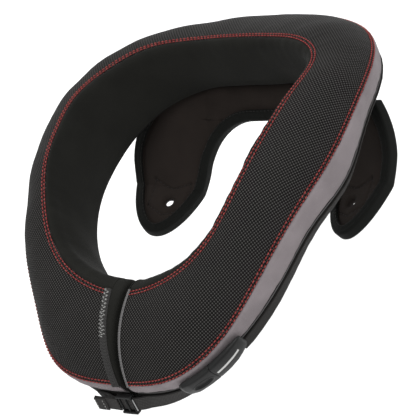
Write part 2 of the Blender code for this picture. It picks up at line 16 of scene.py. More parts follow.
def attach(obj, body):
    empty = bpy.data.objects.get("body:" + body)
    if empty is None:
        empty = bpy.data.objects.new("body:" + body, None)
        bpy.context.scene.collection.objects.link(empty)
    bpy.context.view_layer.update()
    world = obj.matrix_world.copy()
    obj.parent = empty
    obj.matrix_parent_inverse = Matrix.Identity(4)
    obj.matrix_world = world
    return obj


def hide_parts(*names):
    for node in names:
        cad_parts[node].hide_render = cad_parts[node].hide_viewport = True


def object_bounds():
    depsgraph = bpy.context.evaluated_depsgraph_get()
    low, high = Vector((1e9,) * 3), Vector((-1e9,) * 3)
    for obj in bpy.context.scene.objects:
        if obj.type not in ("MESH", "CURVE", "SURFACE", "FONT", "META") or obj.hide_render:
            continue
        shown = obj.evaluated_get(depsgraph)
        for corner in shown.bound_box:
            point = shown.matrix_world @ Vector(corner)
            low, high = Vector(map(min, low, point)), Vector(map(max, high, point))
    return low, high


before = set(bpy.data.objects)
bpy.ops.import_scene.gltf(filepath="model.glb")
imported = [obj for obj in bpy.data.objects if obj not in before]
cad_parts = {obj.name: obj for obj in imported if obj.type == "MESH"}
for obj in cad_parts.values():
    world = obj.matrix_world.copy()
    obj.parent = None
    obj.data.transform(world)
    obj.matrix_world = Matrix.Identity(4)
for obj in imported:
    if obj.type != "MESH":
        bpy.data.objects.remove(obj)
CAD_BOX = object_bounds()

bl_info = {
    "name": "Neck Brace Looks",
    "version": (1, 0, 0),
    "blender": (4, 5, 0),
    "location": "3D View > Sidebar > Brace",
    "description": "Builds the sewn covers, webbing, buckle and yoke of a padded neck brace",
    "category": "Object",
}

# Sections of one half of the collar. Each row is a share of the named size.
Section = namedtuple("Section", "turn foot base top lip wall reach drop crown rim flare hem tuck")
SECTIONS = (
    Section(0, 1.130, -1.02, 1.235, 1.60, 0.98, 1.34, 1.04, 1.50, 0.62, -0.12, 0.95, -0.35),
    Section(15, 1.125, -0.77, 1.225, 1.35, 0.98, 1.42, 1.01, 1.40, 0.60, -0.12, 0.90, 0.18),
    Section(30, 1.100, -0.15, 1.190, 1.00, 0.96, 1.16, 1.03, 1.20, 0.70, -0.10, 0.93, 0.42),
    Section(45, 1.050, 0.53, 1.105, 0.65, 0.955, 0.95, 0.92, 1.05, 0.92, 0.01, 1.00, 0.52),
    Section(60, 0.985, 0.96, 1.020, 0.45, 0.99, 0.89, 0.92, 1.00, 0.96, -0.05, 0.93, 0.60),
    Section(75, 0.945, 1.02, 0.980, 0.35, 1.03, 0.90, 0.97, 1.00, 1.10, -0.09, 0.91, 0.70),
    Section(90, 0.950, 0.76, 0.980, 0.40, 1.06, 0.94, 0.94, 1.05, 1.14, -0.17, 0.98, 0.80),
    Section(105, 1.000, 0.35, 1.035, 0.50, 1.065, 0.91, 0.87, 1.10, 0.99, -0.31, 1.00, 1.05),
    Section(120, 1.050, -0.06, 1.110, 0.70, 0.97, 0.875, 0.81, 1.20, 0.96, -0.34, 0.95, 1.08),
    Section(135, 1.053, -0.38, 1.105, 0.80, 0.93, 0.95, 0.995, 1.35, 0.87, -0.25, 0.86, 0.90),
    Section(150, 1.000, -0.61, 1.015, 0.80, 0.925, 1.14, 1.265, 1.30, 0.85, -0.12, 0.70, 0.70),
    Section(165, 0.930, -0.75, 0.950, 0.80, 0.91, 1.275, 1.42, 1.10, 0.80, 0.00, 0.59, 0.55),
    Section(180, 0.895, -0.79, 0.920, 0.80, 0.925, 1.33, 1.49, 1.00, 0.78, 0.05, 0.55, 0.50),
)


def length(default, name, description):
    """A length in metres that a user may change."""
    return FloatProperty(name=name, description=description, default=default, min=0.0, precision=4,
                         subtype="DISTANCE", unit="LENGTH")


def signed(default, name, description):
    """A height in metres that may lie below the origin."""
    return FloatProperty(name=name, description=description, default=default, precision=4,
                         subtype="DISTANCE", unit="LENGTH")


def turned(default, name, description):
    """An angle round the collar from the front, in degrees here and radians in the property."""
    return FloatProperty(name=name, description=description, default=math.radians(default),
                         subtype="ANGLE", unit="ROTATION")


def tint(default, name, description):
    """A colour that a user may change."""
    return FloatVectorProperty(name=name, description=description, default=default, size=3, min=0.0,
                               max=1.0, subtype="COLOR")


class CollarSizes(bpy.types.PropertyGroup):
    """Padded collar, its split and its covers."""
    neck: length(0.083, "Neck radius", "Mean radius of the neck opening at the foot of the inner wall")
    arch: length(0.011, "Arch rise", "How far the sides of the foot arch above its front and back")
    wall: length(0.052, "Wall height", "Inner wall from its foot to the stitched top edge")
    lip: length(0.0075, "Lip width", "Roll of the lining over the top of the inner wall")
    lip_depth: length(0.009, "Lip depth", "How far below the top edge the roll starts")
    bulge: length(0.003, "Wall padding", "Padding of the inner wall")
    reach: length(0.035, "Panel reach", "Sloping top panel, measured outwards")
    drop: length(0.028, "Panel drop", "Sloping top panel, measured downwards")
    crown: length(0.0055, "Panel padding", "Padding of the top panel above a straight slope")
    side_crown: length(0.0008, "Side padding", "Padding of the side panel")
    rim: length(0.016, "Rim height", "Side panel under the outer seam")
    hem: length(0.012, "Hem width", "Turned-under hem that carries the strap")
    cover: length(0.0015, "Cover cloth", "Thickness of the cover cloth")
    gap: length(0.0003, "Clearance", "Space between pieces that touch")
    split: length(0.003, "Front split", "Space between the two ends of the collar")
    split_shift: length(0.0026, "Split shift", "How far the split lies towards the wearer's left")
    left_cap: length(0.002, "Left end", "Sewn-on end of the wearer's left half")
    cap_inner: length(0.009, "Right end at the neck", "Soft end of the wearer's right half, at the neck")
    cap_outer: length(0.001, "Right end at the rim", "Soft end of the wearer's right half, at the seam")
    cap_round: length(0.003, "End rounding", "Rounding of both ends")
    edge_band: length(0.0052, "Gathered band", "Gathered elastic over the wearer's right edge")
    edge_raise: length(0.0012, "Gathered band rise", "How far the gathered elastic stands up")
    piping: length(0.0014, "Edge piping", "Cut-edge piping on the wearer's left edge")


class StitchSizes(bpy.types.PropertyGroup):
    """Thread and its stitches."""
    pitch: length(0.0025, "Stitch pitch", "Length of one stitch of the red rows with its gap")
    thread: length(0.00078, "Thread", "Thickness of the red thread")
    first_row: length(0.0010, "First row", "Distance of the first red row from its seam")
    row_gap: length(0.0021, "Row spacing", "Distance between the two red rows")
    fine_pitch: length(0.0028, "Fine pitch", "Length of one stitch of the dark rows with its gap")
    fine_thread: length(0.0005, "Fine thread", "Thickness of the dark thread")


class StrapSizes(bpy.types.PropertyGroup):
    """Webbing, slider and buckle."""
    webbing: length(0.0014, "Webbing", "Thickness of the webbing")
    rim_start: turned(31.5, "Rim strap start", "Angle where the rim strap leaves the buckle")
    rim_end: turned(336.0, "Rim strap end", "Angle where the rim strap is sewn down")
    front_start: turned(-9.5, "Front strap start", "Angle where the front strap starts")
    front_width: length(0.0092, "Front strap width", "Width of the front strap and its tail")
    front_end: turned(18.5, "Front strap end", "Angle where the front strap enters the buckle")
    slider_middle: turned(-0.8, "Slider", "Angle of the middle of the slider")
    slider_length: length(0.0105, "Slider length", "Length of the slider along the strap")
    slider_rail: length(0.0014, "Slider rail", "Thickness of the slider's rails")
    slider_lift: length(0.0022, "Slider lift", "How far the strap stands off where it threads the slider")
    tail: length(0.0175, "Tail", "Free end of the strap past the slider")
    tail_fold: length(0.0085, "Tail fold", "Folded and sewn end of the tail")
    buckle_start: turned(16.5, "Buckle start", "Angle of the nose of the buckle")
    buckle_mouth: turned(25.0, "Buckle mouth", "Angle where the two halves of the buckle meet")
    buckle_end: turned(33.5, "Buckle end", "Angle of the far end of the buckle")
    buckle_width: length(0.016, "Buckle width", "Width of the buckle")
    buckle_thickness: length(0.0046, "Buckle thickness", "Thickness of the buckle")
    buckle_middle: length(0.0026, "Buckle middle", "Middle of the buckle above the hem corner")
    recess_length: length(0.011, "Thumb recess length", "Length of the oval thumb recess")
    recess_width: length(0.0060, "Thumb recess width", "Width of the oval thumb recess")
    recess_depth: length(0.0012, "Thumb recess depth", "Depth of the oval thumb recess")
    recess_offset: turned(1.2, "Thumb recess offset", "Recess from the middle of the plug to its mouth")


class YokeSizes(bpy.types.PropertyGroup):
    """Padded shoulder yoke and its binding."""
    thickness: length(0.005, "Sheet thickness", "Padded sheet of the yoke")
    tab_round: length(0.0198, "Tab rounding", "Half width of the tab's rounded tip")
    flare_in: length(0.0040, "Inner flare", "How much wider the tab gets on its inner side")
    flare_out: length(0.0052, "Outer flare", "How much wider the tab gets on its outer side")
    tab_middle: length(0.075, "Tab middle", "Middle of the tab's tip, sideways from the neck axis")
    tab_tip: signed(-0.0148, "Tab tip", "How far forward a tab reaches")
    flat_end: length(0.018, "Tab bend", "Where the flat tab starts to climb to the collar")
    level: signed(-0.0448, "Tab level", "Middle of the tab's sheet at its inner edge")
    tilt: FloatProperty(name="Tab tilt", description="Rise of the tab outwards", default=0.24)
    hole: length(0.006, "Tab hole", "Diameter of the screw hole")
    hole_x: length(0.0722, "Hole middle", "Middle of the screw hole, sideways from the neck axis")
    hole_y: length(0.0075, "Hole place", "Middle of the screw hole, along the tab")
    rise: length(0.034, "Climb", "Climb from the tabs to the collar's foot")
    climb: length(0.056, "Climb length", "Length over which the sheet climbs")
    curve: FloatProperty(name="Climb curve", description="Share of the climb that steepens", default=0.45)
    narrowing: FloatProperty(name="Narrowing", description="Narrowing to the back edge", default=0.30)
    arch_end: length(0.0592, "Arch end", "Top of the opening between the tabs")
    corner_x: length(0.035, "Arch corner width", "Width of the arch's rounded corner")
    corner_y: length(0.0277, "Arch corner length", "Length of the arch's rounded corner")
    back_margin: length(0.008, "Back margin", "How far the back edge lies inside the hem")
    binding: length(0.0048, "Binding width", "Width of the folded binding")
    binding_cloth: length(0.001, "Binding cloth", "Thickness of the binding")


class BraceColours(bpy.types.PropertyGroup):
    """Cloth, thread and plastic colours."""
    # Warp: painted highlight on the crowns of the top panel's warp threads, over the dark weft colour
    warp_highlight: tint((0.052, 0.050, 0.048), "Warp", "Painted highlight on the crowns of the top panel's warp threads")
    weft: tint((0.0034, 0.0031, 0.0030), "Weft", "Darker threads of the top panel")
    jersey: tint((0.0088, 0.0088, 0.0076), "Jersey", "Lining and soft ends")
    grey: tint((0.165, 0.146, 0.152), "Grey cloth", "Side panel")
    base: tint((0.0080, 0.0074, 0.0070), "Base cloth", "Cloth under the collar")
    webbing: tint((0.016, 0.0145, 0.0135), "Webbing", "Rim strap")
    front_webbing: tint((0.040, 0.038, 0.037), "Front webbing", "Webbing by the slider")
    red: tint((0.140, 0.0085, 0.0105), "Red thread", "Double stitched rows")
    # Painted highlight on the crown of each red stitch
    red_highlight: tint((0.30, 0.055, 0.046), "Red thread highlight", "Painted highlight on the crown of each red stitch")
    overlock: tint((0.13, 0.13, 0.125), "Overlock thread", "Zig-zag thread of the gathered edge")
    elastic: tint((0.042, 0.041, 0.040), "Elastic", "Gathered band")
    piping: tint((0.20, 0.195, 0.195), "Piping", "Light edge piping")
    plastic: tint((0.0062, 0.0064, 0.0064), "Moulded plastic", "Buckle and slider")
    stripe: tint((0.45, 0.45, 0.44), "Printed line", "Plain line on the buckle")
    yoke: tint((0.0145, 0.0112, 0.0096), "Yoke cloth", "Padded sheet of the yoke")
    binding: tint((0.0062, 0.0068, 0.0058), "Binding", "Binding round the yoke")
    dark_thread: tint((0.006, 0.0055, 0.005), "Dark thread", "Stitches of the yoke and its binding")
    metal: tint((0.30, 0.30, 0.30), "Metal", "Bar of the slider")
    floor: tint((0.93, 0.93, 0.93), "Floor", "Pale floor")


def settings(name):
    """One group of sizes or colours of the scene."""
    return getattr(bpy.context.scene, name)


# Section of the collar, worked out for many angles at once

def around(column, turns):
    """Smooth even curve through one column of the section table, at angles in radians."""
    values = np.array([getattr(row, column) for row in SECTIONS])
    last = len(values) - 1
    orders = np.arange(last + 1)
    ends = np.where((orders == 0) | (orders == last), 0.5, 1.0)
    waves = np.cos(np.pi * np.outer(orders, orders) / last)
    amounts = ends * (waves @ (ends * values)) * 2.0 / last
    return np.cos(np.multiply.outer(turns, orders)) @ amounts


Corners = namedtuple("Corners", "foot lip top seam hem under")


def corners(turns):
    """Named corners of the section, each a row of radius and height for each angle."""
    s = settings("collar_sizes")
    turns = np.atleast_1d(np.asarray(turns, float))

    def pair(radius, height):
        return np.stack([radius, height], 1)

    foot = pair(around("foot", turns) * s.neck, around("base", turns) * s.arch)
    top = pair(around("top", turns) * s.neck, foot[:, 1] + around("wall", turns) * s.wall)
    lip = pair(top[:, 0] - around("lip", turns) * s.lip, top[:, 1] - s.lip_depth)
    seam = top + pair(around("reach", turns) * s.reach, -around("drop", turns) * s.drop)
    hem = seam + pair(around("flare", turns), -around("rim", turns)) * s.rim
    under = hem + pair(-around("tuck", turns), -around("hem", turns)) * s.hem
    return Corners(foot, lip, top, seam, hem, under)


def stretched(start, end, shares, bulge):
    """Lines from start to end, padded outwards by bulge."""
    along = end - start
    out = unit(np.stack([-along[:, 1], along[:, 0]], 1))
    swell = np.multiply.outer(np.broadcast_to(bulge, len(start)), 4 * shares * (1 - shares))[..., None]
    return start[:, None] + along[:, None] * shares[None, :, None] + out[:, None] * swell


def unit(vectors):
    """Vectors scaled to a length of one."""
    return vectors / np.maximum(np.linalg.norm(vectors, axis=-1, keepdims=True), 1e-12)


def wall_line(turns, count):
    """Inner wall and the roll over its top, from the foot to the stitched edge."""
    s = settings("collar_sizes")
    c = corners(turns)
    wall = stretched(c.foot, c.lip, np.linspace(0, 1, count * 2 // 3, endpoint=False), s.bulge)
    angles = np.linspace(0, math.pi / 2, count - count * 2 // 3)
    roll = np.stack([c.top[:, :1] - (c.top - c.lip)[:, :1] * np.cos(angles),
                     c.lip[:, 1:] + (c.top - c.lip)[:, 1:] * np.sin(angles)], 2)
    return softened(np.concatenate([wall, roll], 1), 5)


def softened(lines, times):
    """Round off the corners inside each line; its two ends stay."""
    lines = lines.copy()
    for _ in range(times):
        lines[:, 1:-1] = (lines[:, :-2] + 2 * lines[:, 1:-1] + lines[:, 2:]) / 4
    return lines


def panel_line(turns, count):
    """Domed top panel, from the inner to the outer seam."""
    c = corners(turns)
    crown = around("crown", np.atleast_1d(turns)) * settings("collar_sizes").crown
    return stretched(c.top, c.seam, np.linspace(0, 1, count), crown)


def side_line(turns, count):
    """Side panel, from the outer seam to the hem."""
    c = corners(turns)
    return stretched(c.seam, c.hem, np.linspace(0, 1, count), settings("collar_sizes").side_crown)


def base_line(turns, count):
    """Turned-under hem and the cloth below the collar, back to the foot."""
    c = corners(turns)
    hem = stretched(c.hem, c.under, np.linspace(0, 1, count // 3, endpoint=False), 0.0)
    foot = stretched(c.under, c.foot, np.linspace(0, 1, count - count // 3), 0.0)
    return np.concatenate([hem, foot], 1)


def whole_line(turns, count):
    """Closed outline of the section, without its last point."""
    quarter = count // 4
    lines = [wall_line(turns, quarter)[:, :-1], panel_line(turns, quarter)[:, :-1],
             side_line(turns, quarter // 2)[:, :-1], base_line(turns, quarter)[:, :-1]]
    return np.concatenate(lines, 1)


# Places round the collar

def cap_length(side, radius):
    """Length of the soft end of one half at a radius of the split."""
    s = settings("collar_sizes")
    if side == "left":
        return np.full_like(radius, s.left_cap)
    c = corners(0.0)
    share = np.clip((radius - c.foot[0, 0]) / (c.seam[0, 0] - c.foot[0, 0]), 0, 1)
    return s.cap_inner + (s.cap_outer - s.cap_inner) * share


def face_depth(side):
    """Distance of one half's end face from the plane through the neck axis."""
    s = settings("collar_sizes")
    return s.split / 2 + (s.split_shift if side == "left" else -s.split_shift)


def end_turn(side, radius, behind):
    """Angle of a flat cut across one half, a distance behind its soft end."""
    turn = np.arcsin((face_depth(side) + behind + cap_length(side, radius)) / radius)
    return turn if side == "left" else 2 * math.pi - turn


END_BLEND = math.radians(8)


def seam_radius():
    """Radius of the outer seam at the front."""
    return corners(0.0).seam[0, :1]


def ring_turns(steps, behind=0.0003):
    """Angles from the split's left end round to its right end."""
    start, end = (end_turn(side, seam_radius(), behind)[0] for side in ("left", "right"))
    return np.linspace(start, end, steps)


def true_turns(turns, radius, behind=0.0003):
    """Angles at each radius, so that both ends of the collar are cut flat."""
    start, end = (end_turn(side, seam_radius(), behind)[0] for side in ("left", "right"))
    left = np.clip(1 - (turns - start) / (END_BLEND - start), 0, 1)[:, None]
    right = np.clip(1 - (end - turns) / (end - 2 * math.pi + END_BLEND), 0, 1)[:, None]
    return (turns[:, None] + left * (end_turn("left", radius, behind) - start)
            + right * (end_turn("right", radius, behind) - end))


def in_space(lines, turns):
    """Points of radius and height, set in space at their angles."""
    return np.stack([lines[..., 0] * np.sin(turns), -lines[..., 0] * np.cos(turns), lines[..., 1]], -1)


def grid_normals(grid):
    """Outward normals of a grid of points that runs round the collar and then across it."""
    along = np.gradient(grid, axis=0)
    across = np.gradient(grid, axis=1)
    return unit(np.cross(across, along))


def run(grid, axis):
    """Distance covered along one axis of a grid of points."""
    steps = np.linalg.norm(np.diff(grid, axis=axis), axis=-1)
    total = np.cumsum(steps, axis=axis)
    return np.concatenate([np.zeros_like(total.take([0], axis)), total], axis)


def pucker(distance, waves):
    """Irregular small waves along a seam, from a few plain ones."""
    total = 0.0
    for index, wave in enumerate(waves):
        total = total + np.sin(2 * math.pi * distance / wave + 1.7 * index + 0.6) / len(waves)
    return total


# Meshes

def grid_faces(rows, columns, wrap=False, ring=False):
    """Quads of a grid of points; wrap closes each row and ring closes the row of rows."""
    a = np.arange(rows if ring else rows - 1)[:, None]
    b = np.arange(columns if wrap else columns - 1)[None]
    a2, b2 = (a + 1) % rows, (b + 1) % columns
    return np.stack([a * columns + b, a * columns + b2, a2 * columns + b2, a2 * columns + b],
                    -1).reshape(-1, 4)


def make_piece(name, points, faces, material, cloth=None, extra=()):
    """One mesh object with its cloth coordinates, shaded smooth. Extra faces may have any size."""
    points = np.asarray(points, float).reshape(-1, 3)
    mesh = bpy.data.meshes.new(name)
    mesh.from_pydata(points.tolist(), [], np.asarray(faces).tolist() + [list(f) for f in extra])
    if cloth is not None:
        flat = np.zeros((len(points), 3))
        cloth = np.asarray(cloth, float).reshape(len(points), -1)
        flat[:, :cloth.shape[1]] = cloth
        mesh.attributes.new("cloth", "FLOAT_VECTOR", "POINT").data.foreach_set("vector", flat.ravel())
    mesh.shade_smooth()
    mesh.materials.append(material)
    item = bpy.data.objects.new(name, mesh)
    bpy.context.scene.collection.objects.link(item)
    tidy_mesh(item)
    return item


def tidy_mesh(item):
    """Weld doubled points and turn every face outwards."""
    shape = bmesh.new()
    shape.from_mesh(item.data)
    bmesh.ops.remove_doubles(shape, verts=shape.verts, dist=1e-7)
    bmesh.ops.recalc_face_normals(shape, faces=shape.faces)
    shape.to_mesh(item.data)
    shape.free()


def fit_piece(item, slot, *nodes, fill=None):
    """Say what a piece rides on and which solids it stands for."""
    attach(item, "root")
    if nodes:
        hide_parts(*nodes)
    return item


def sweep(places, profile):
    """Closed profile, or one for each place, carried along an origin, an outward and an upward direction."""
    origin, out, up = places
    points = origin[:, None] + out[:, None] * profile[..., :1] + up[:, None] * profile[..., 1:]
    rows, columns = points.shape[:2]
    return points, grid_faces(rows, columns, wrap=True), end_faces(rows, columns)


def end_faces(rows, columns):
    """Faces that close both ends of a tube of points."""
    last = (rows - 1) * columns
    return [range(columns - 1, -1, -1), range(last, last + columns)]


def join_parts(parts):
    """Swept parts as the points, faces and end faces of one mesh."""
    points, faces, caps, start = [], [], [], 0
    for part in parts:
        points.append(part[0].reshape(-1, 3))
        faces.append(part[1] + start)
        caps += [[k + start for k in cap] for cap in part[2]]
        start += len(points[-1])
    return np.concatenate(points), np.concatenate(faces), caps


def tube(path, normals, radius, sides=8):
    """Round cord along a path."""
    along = unit(np.gradient(path, axis=0))
    side = unit(np.cross(along, normals))
    angles = np.linspace(0, 2 * math.pi, sides, endpoint=False)
    circle = np.stack([np.cos(angles), np.sin(angles)], 1) * radius
    return sweep((path, unit(np.cross(side, along)), side), circle)


def resample(path, normals, pitch):
    """Places at equal steps along a path, with their direction and normal."""
    distance = run(path[:, None], 0)[:, 0]
    count = max(2, int(distance[-1] / pitch))
    at = (np.arange(count) + 0.5) * distance[-1] / count
    spots = np.stack([np.interp(at, distance, path[:, k]) for k in range(3)], 1)
    along = np.stack([np.interp(at, distance, np.gradient(path[:, k], distance)) for k in range(3)], 1)
    up = np.stack([np.interp(at, distance, normals[:, k]) for k in range(3)], 1)
    return spots, unit(along), unit(up)


CAPSULE_RINGS, CAPSULE_SIDES = 6, 6


def stitches(path, normals, pitch, thread, lay=0.82, lift=0.30, sink=0.30):
    """A row of sewn stitches: each is a short arched strand that dips into the cloth at its ends."""
    spots, along, up = resample(path, normals, pitch)
    side = np.cross(up, along)
    s = np.linspace(-1, 1, CAPSULE_RINGS)
    angles = np.linspace(0, 2 * math.pi, CAPSULE_SIDES, endpoint=False)
    girth = thread / 2 * np.maximum(0.35, 1 - np.abs(s) ** 3) ** 0.5
    rise = thread * (lift * (1 - s * s) - sink * s * s)
    template = np.stack([np.repeat(s * pitch * lay / 2, CAPSULE_SIDES),
                         (girth[:, None] * np.cos(angles)).ravel(),
                         (rise[:, None] + girth[:, None] * np.sin(angles)).ravel()], 1)
    points = (spots[:, None] + along[:, None] * template[None, :, :1]
              + side[:, None] * template[None, :, 1:2] + up[:, None] * template[None, :, 2:])
    one = grid_faces(CAPSULE_RINGS, CAPSULE_SIDES, wrap=True)
    caps = np.array([range(CAPSULE_SIDES - 1, -1, -1), range(len(template) - CAPSULE_SIDES, len(template))])
    step = (np.arange(len(spots)) * len(template))[:, None, None]
    cloth = np.stack([np.broadcast_to(template[:, 0], points.shape[:2]) / pitch,
                      np.broadcast_to(np.arange(len(spots))[:, None], points.shape[:2]),
                      np.broadcast_to(template[:, 1], points.shape[:2]) / thread], -1)
    return points.reshape(-1, 3), (one + step).reshape(-1, 4), (caps + step).reshape(-1, CAPSULE_SIDES), \
        cloth.reshape(-1, 3)


def join_rows(rows):
    """Rows of stitches as the arrays of one mesh."""
    points, faces, caps, cloth, start = [], [], [], [], 0
    for row in rows:
        points.append(row[0])
        faces.append(row[1] + start)
        caps.append(row[2] + start)
        cloth.append(row[3])
        start += len(row[0])
    return np.concatenate(points), np.concatenate(faces), np.concatenate(cloth), np.concatenate(caps)


def thread_piece(name, rows, material, slot):
    """One object of many stitches."""
    points, faces, cloth, caps = join_rows(rows)
    return fit_piece(make_piece(name, points, faces, material, cloth, caps), slot)


# Shader node groups, each made once

def socket(group, name, kind, side, default=None):
    """Named input or output of a node group."""
    made = group.interface.new_socket(name=name, in_out=side, socket_type=kind)
    if default is not None:
        made.default_value = default
    return made


def new_group(name, inputs, outputs):
    """Empty node group with its sockets."""
    group = bpy.data.node_groups.new(name, "ShaderNodeTree")
    for label, kind, default in inputs:
        socket(group, label, kind, "INPUT", default)
    for label, kind in outputs:
        socket(group, label, kind, "OUTPUT")
    return group, group.nodes.new("NodeGroupInput"), group.nodes.new("NodeGroupOutput")


class Wiring:
    """Short ways to add nodes to a tree."""

    def __init__(self, tree):
        self.tree = tree

    def feed(self, target, value):
        """Link an output to a socket, or set the socket to a value."""
        if value is None:
            return
        if hasattr(value, "links"):
            self.tree.links.new(value, target)
        else:
            target.default_value = value

    def math(self, operation, a, b=None, c=None, clamp=False):
        """One arithmetic step."""
        node = self.tree.nodes.new("ShaderNodeMath")
        node.operation = operation
        node.use_clamp = clamp
        for target, value in zip(node.inputs, (a, b, c)):
            self.feed(target, value)
        return node.outputs[0]

    def split(self, vector):
        """The three parts of a vector."""
        node = self.tree.nodes.new("ShaderNodeSeparateXYZ")
        self.feed(node.inputs[0], vector)
        return node.outputs

    def noise(self, vector, scale, detail=3.0, roughness=0.55):
        """Soft noise at a place."""
        node = self.tree.nodes.new("ShaderNodeTexNoise")
        self.feed(node.inputs["Vector"], vector)
        self.feed(node.inputs["Scale"], scale)
        node.inputs["Detail"].default_value = detail
        node.inputs["Roughness"].default_value = roughness
        return node.outputs["Fac"]

    def between(self, value, low, high, start=0.0, end=1.0):
        """Value from low to high turned smoothly into start to end."""
        node = self.tree.nodes.new("ShaderNodeMapRange")
        node.interpolation_type = "SMOOTHSTEP"
        for target, item in zip(node.inputs, (value, low, high, start, end)):
            self.feed(target, item)
        return node.outputs[0]

    def mix(self, share, a, b):
        """Colour a turned into colour b by a share."""
        node = self.tree.nodes.new("ShaderNodeMix")
        node.data_type = "RGBA"
        self.feed(node.inputs[0], share)
        self.feed(node.inputs[6], a)
        self.feed(node.inputs[7], b)
        return node.outputs[2]

    def group(self, name, **values):
        """A named node group, with its inputs set."""
        node = self.tree.nodes.new("ShaderNodeGroup")
        node.node_tree = bpy.data.node_groups[name]
        for label, value in values.items():
            self.feed(node.inputs[label.replace("_", " ")], value)
        return node.outputs

    def bump(self, height, distance, strength=1.0, under=None):
        """Normal of a relief, on top of another normal if one is given."""
        node = self.tree.nodes.new("ShaderNodeBump")
        self.feed(node.inputs["Height"], height)
        node.inputs["Distance"].default_value = distance
        node.inputs["Strength"].default_value = strength
        self.feed(node.inputs["Normal"], under)
        return node.outputs[0]


def plain_weave_group():
    """Over-and-under threads: which thread lies on top, peaked on its crown as the mask of a painted
    highlight, and how high the cloth stands.
    """
    group, enter, leave = new_group(
        "Plain weave", [("Vector", "NodeSocketVector", None), ("Pitch", "NodeSocketFloat", 0.001)],
        [("Warp", "NodeSocketFloat"), ("Height", "NodeSocketFloat")])
    w = Wiring(group)
    parts = w.split(enter.outputs["Vector"])
    u, v = (w.math("DIVIDE", parts[k], enter.outputs["Pitch"]) for k in (0, 1))
    checker = w.math("MODULO", w.math("ABSOLUTE", w.math("ADD", w.math("FLOOR", u), w.math("FLOOR", v))),
                     2.0)
    rounds = [w.math("SINE", w.math("MULTIPLY", w.math("FRACT", x), math.pi)) for x in (u, v)]
    swell = w.math("MULTIPLY", rounds[0], rounds[1])
    w.feed(leave.inputs["Warp"], w.math("MULTIPLY", checker, w.math("POWER", swell, 0.55)))
    w.feed(leave.inputs["Height"], w.math("POWER", swell, 0.5))


def ribs_group():
    """Ridges along a tape, crossed by finer picks."""
    group, enter, leave = new_group(
        "Ribs", [("Vector", "NodeSocketVector", None), ("Rib", "NodeSocketFloat", 0.001),
                 ("Pick", "NodeSocketFloat", 0.0006)],
        [("Ridge", "NodeSocketFloat"), ("Height", "NodeSocketFloat")])
    w = Wiring(group)
    parts = w.split(enter.outputs["Vector"])
    u = w.math("DIVIDE", parts[0], enter.outputs["Pick"])
    v = w.math("DIVIDE", parts[1], enter.outputs["Rib"])
    ridge = w.math("ABSOLUTE", w.math("SINE", w.math("MULTIPLY", v, math.pi)))
    shift = w.math("MULTIPLY", w.math("FLOOR", v), 0.5)
    pick = w.math("ABSOLUTE", w.math("SINE", w.math("MULTIPLY", w.math("ADD", u, shift), math.pi)))
    w.feed(leave.inputs["Ridge"], w.math("MULTIPLY", ridge, w.math("POWER", pick, 0.5)))
    w.feed(leave.inputs["Height"], w.math("ADD", w.math("MULTIPLY", ridge, 0.6),
                                          w.math("MULTIPLY", pick, 0.4)))


def shading_group():
    """Slow and fine unevenness of dyed cloth or plastic, in metres of the object."""
    group, enter, leave = new_group(
        "Unevenness", [("Scale", "NodeSocketFloat", 60.0)],
        [("Slow", "NodeSocketFloat"), ("Fine", "NodeSocketFloat"), ("Lint", "NodeSocketFloat")])
    w = Wiring(group)
    place = group.nodes.new("ShaderNodeTexCoord").outputs["Object"]
    scale = enter.outputs["Scale"]
    fine = w.noise(place, w.math("MULTIPLY", scale, 22.0), 4.0)
    w.feed(leave.inputs["Slow"], w.between(w.noise(place, scale, 3.0), 0.3, 0.7))
    w.feed(leave.inputs["Fine"], fine)
    specks = w.noise(place, w.math("MULTIPLY", scale, 40.0), 1.0)
    w.feed(leave.inputs["Lint"], w.between(specks, 0.70, 0.78))


def shaded(colour, factor):
    """A colour made lighter or darker, with full alpha."""
    return (*[min(1.0, c * factor) for c in colour], 1.0)


def new_material(name, roughness, sheen=0.0, specular=0.3, metallic=0.0):
    """Material with its main shader and a way to wire its tree."""
    material = bpy.data.materials.new(name)
    material.use_nodes = True
    shader = material.node_tree.nodes["Principled BSDF"]
    shader.inputs["Roughness"].default_value = roughness
    shader.inputs["Specular IOR Level"].default_value = specular
    shader.inputs["Metallic"].default_value = metallic
    shader.inputs["Sheen Weight"].default_value = sheen
    shader.inputs["Sheen Roughness"].default_value = 0.4
    return material, shader, Wiring(material.node_tree)


def cloth_place(wiring):
    """Distances along and across a cloth piece, as its mesh carries them."""
    node = wiring.tree.nodes.new("ShaderNodeAttribute")
    node.attribute_name = "cloth"
    return node.outputs["Vector"]


PANEL_PITCH = 0.00106     # one thread of the top panel's coarse weave
GREY_PITCH = 0.00055
KNIT_PITCH = 0.00075


def ballistic_material():
    """Coarse dark weave of the top panel, with a painted highlight on the crown of each warp float."""
    c = settings("brace_colours")
    material, shader, w = new_material("ballistic cloth", 0.62, sheen=0.0, specular=0.06)
    weave = w.group("Plain weave", Vector=cloth_place(w), Pitch=PANEL_PITCH)
    uneven = w.group("Unevenness", Scale=55.0)
    # The lighter warp colour is a painted highlight on the thread crowns, varied at random
    light = w.mix(uneven["Fine"], shaded(c.warp_highlight, 0.78), shaded(c.warp_highlight, 1.3))
    dark = w.mix(uneven["Slow"], shaded(c.weft, 0.8), shaded(c.weft, 1.35))
    w.feed(shader.inputs["Base Color"], w.mix(weave["Warp"], dark, light))
    w.feed(shader.inputs["Roughness"], w.between(weave["Height"], 0.0, 1.0, 0.85, 0.55))
    w.feed(shader.inputs["Normal"], w.bump(weave["Height"], 0.0003, 0.9))
    return material


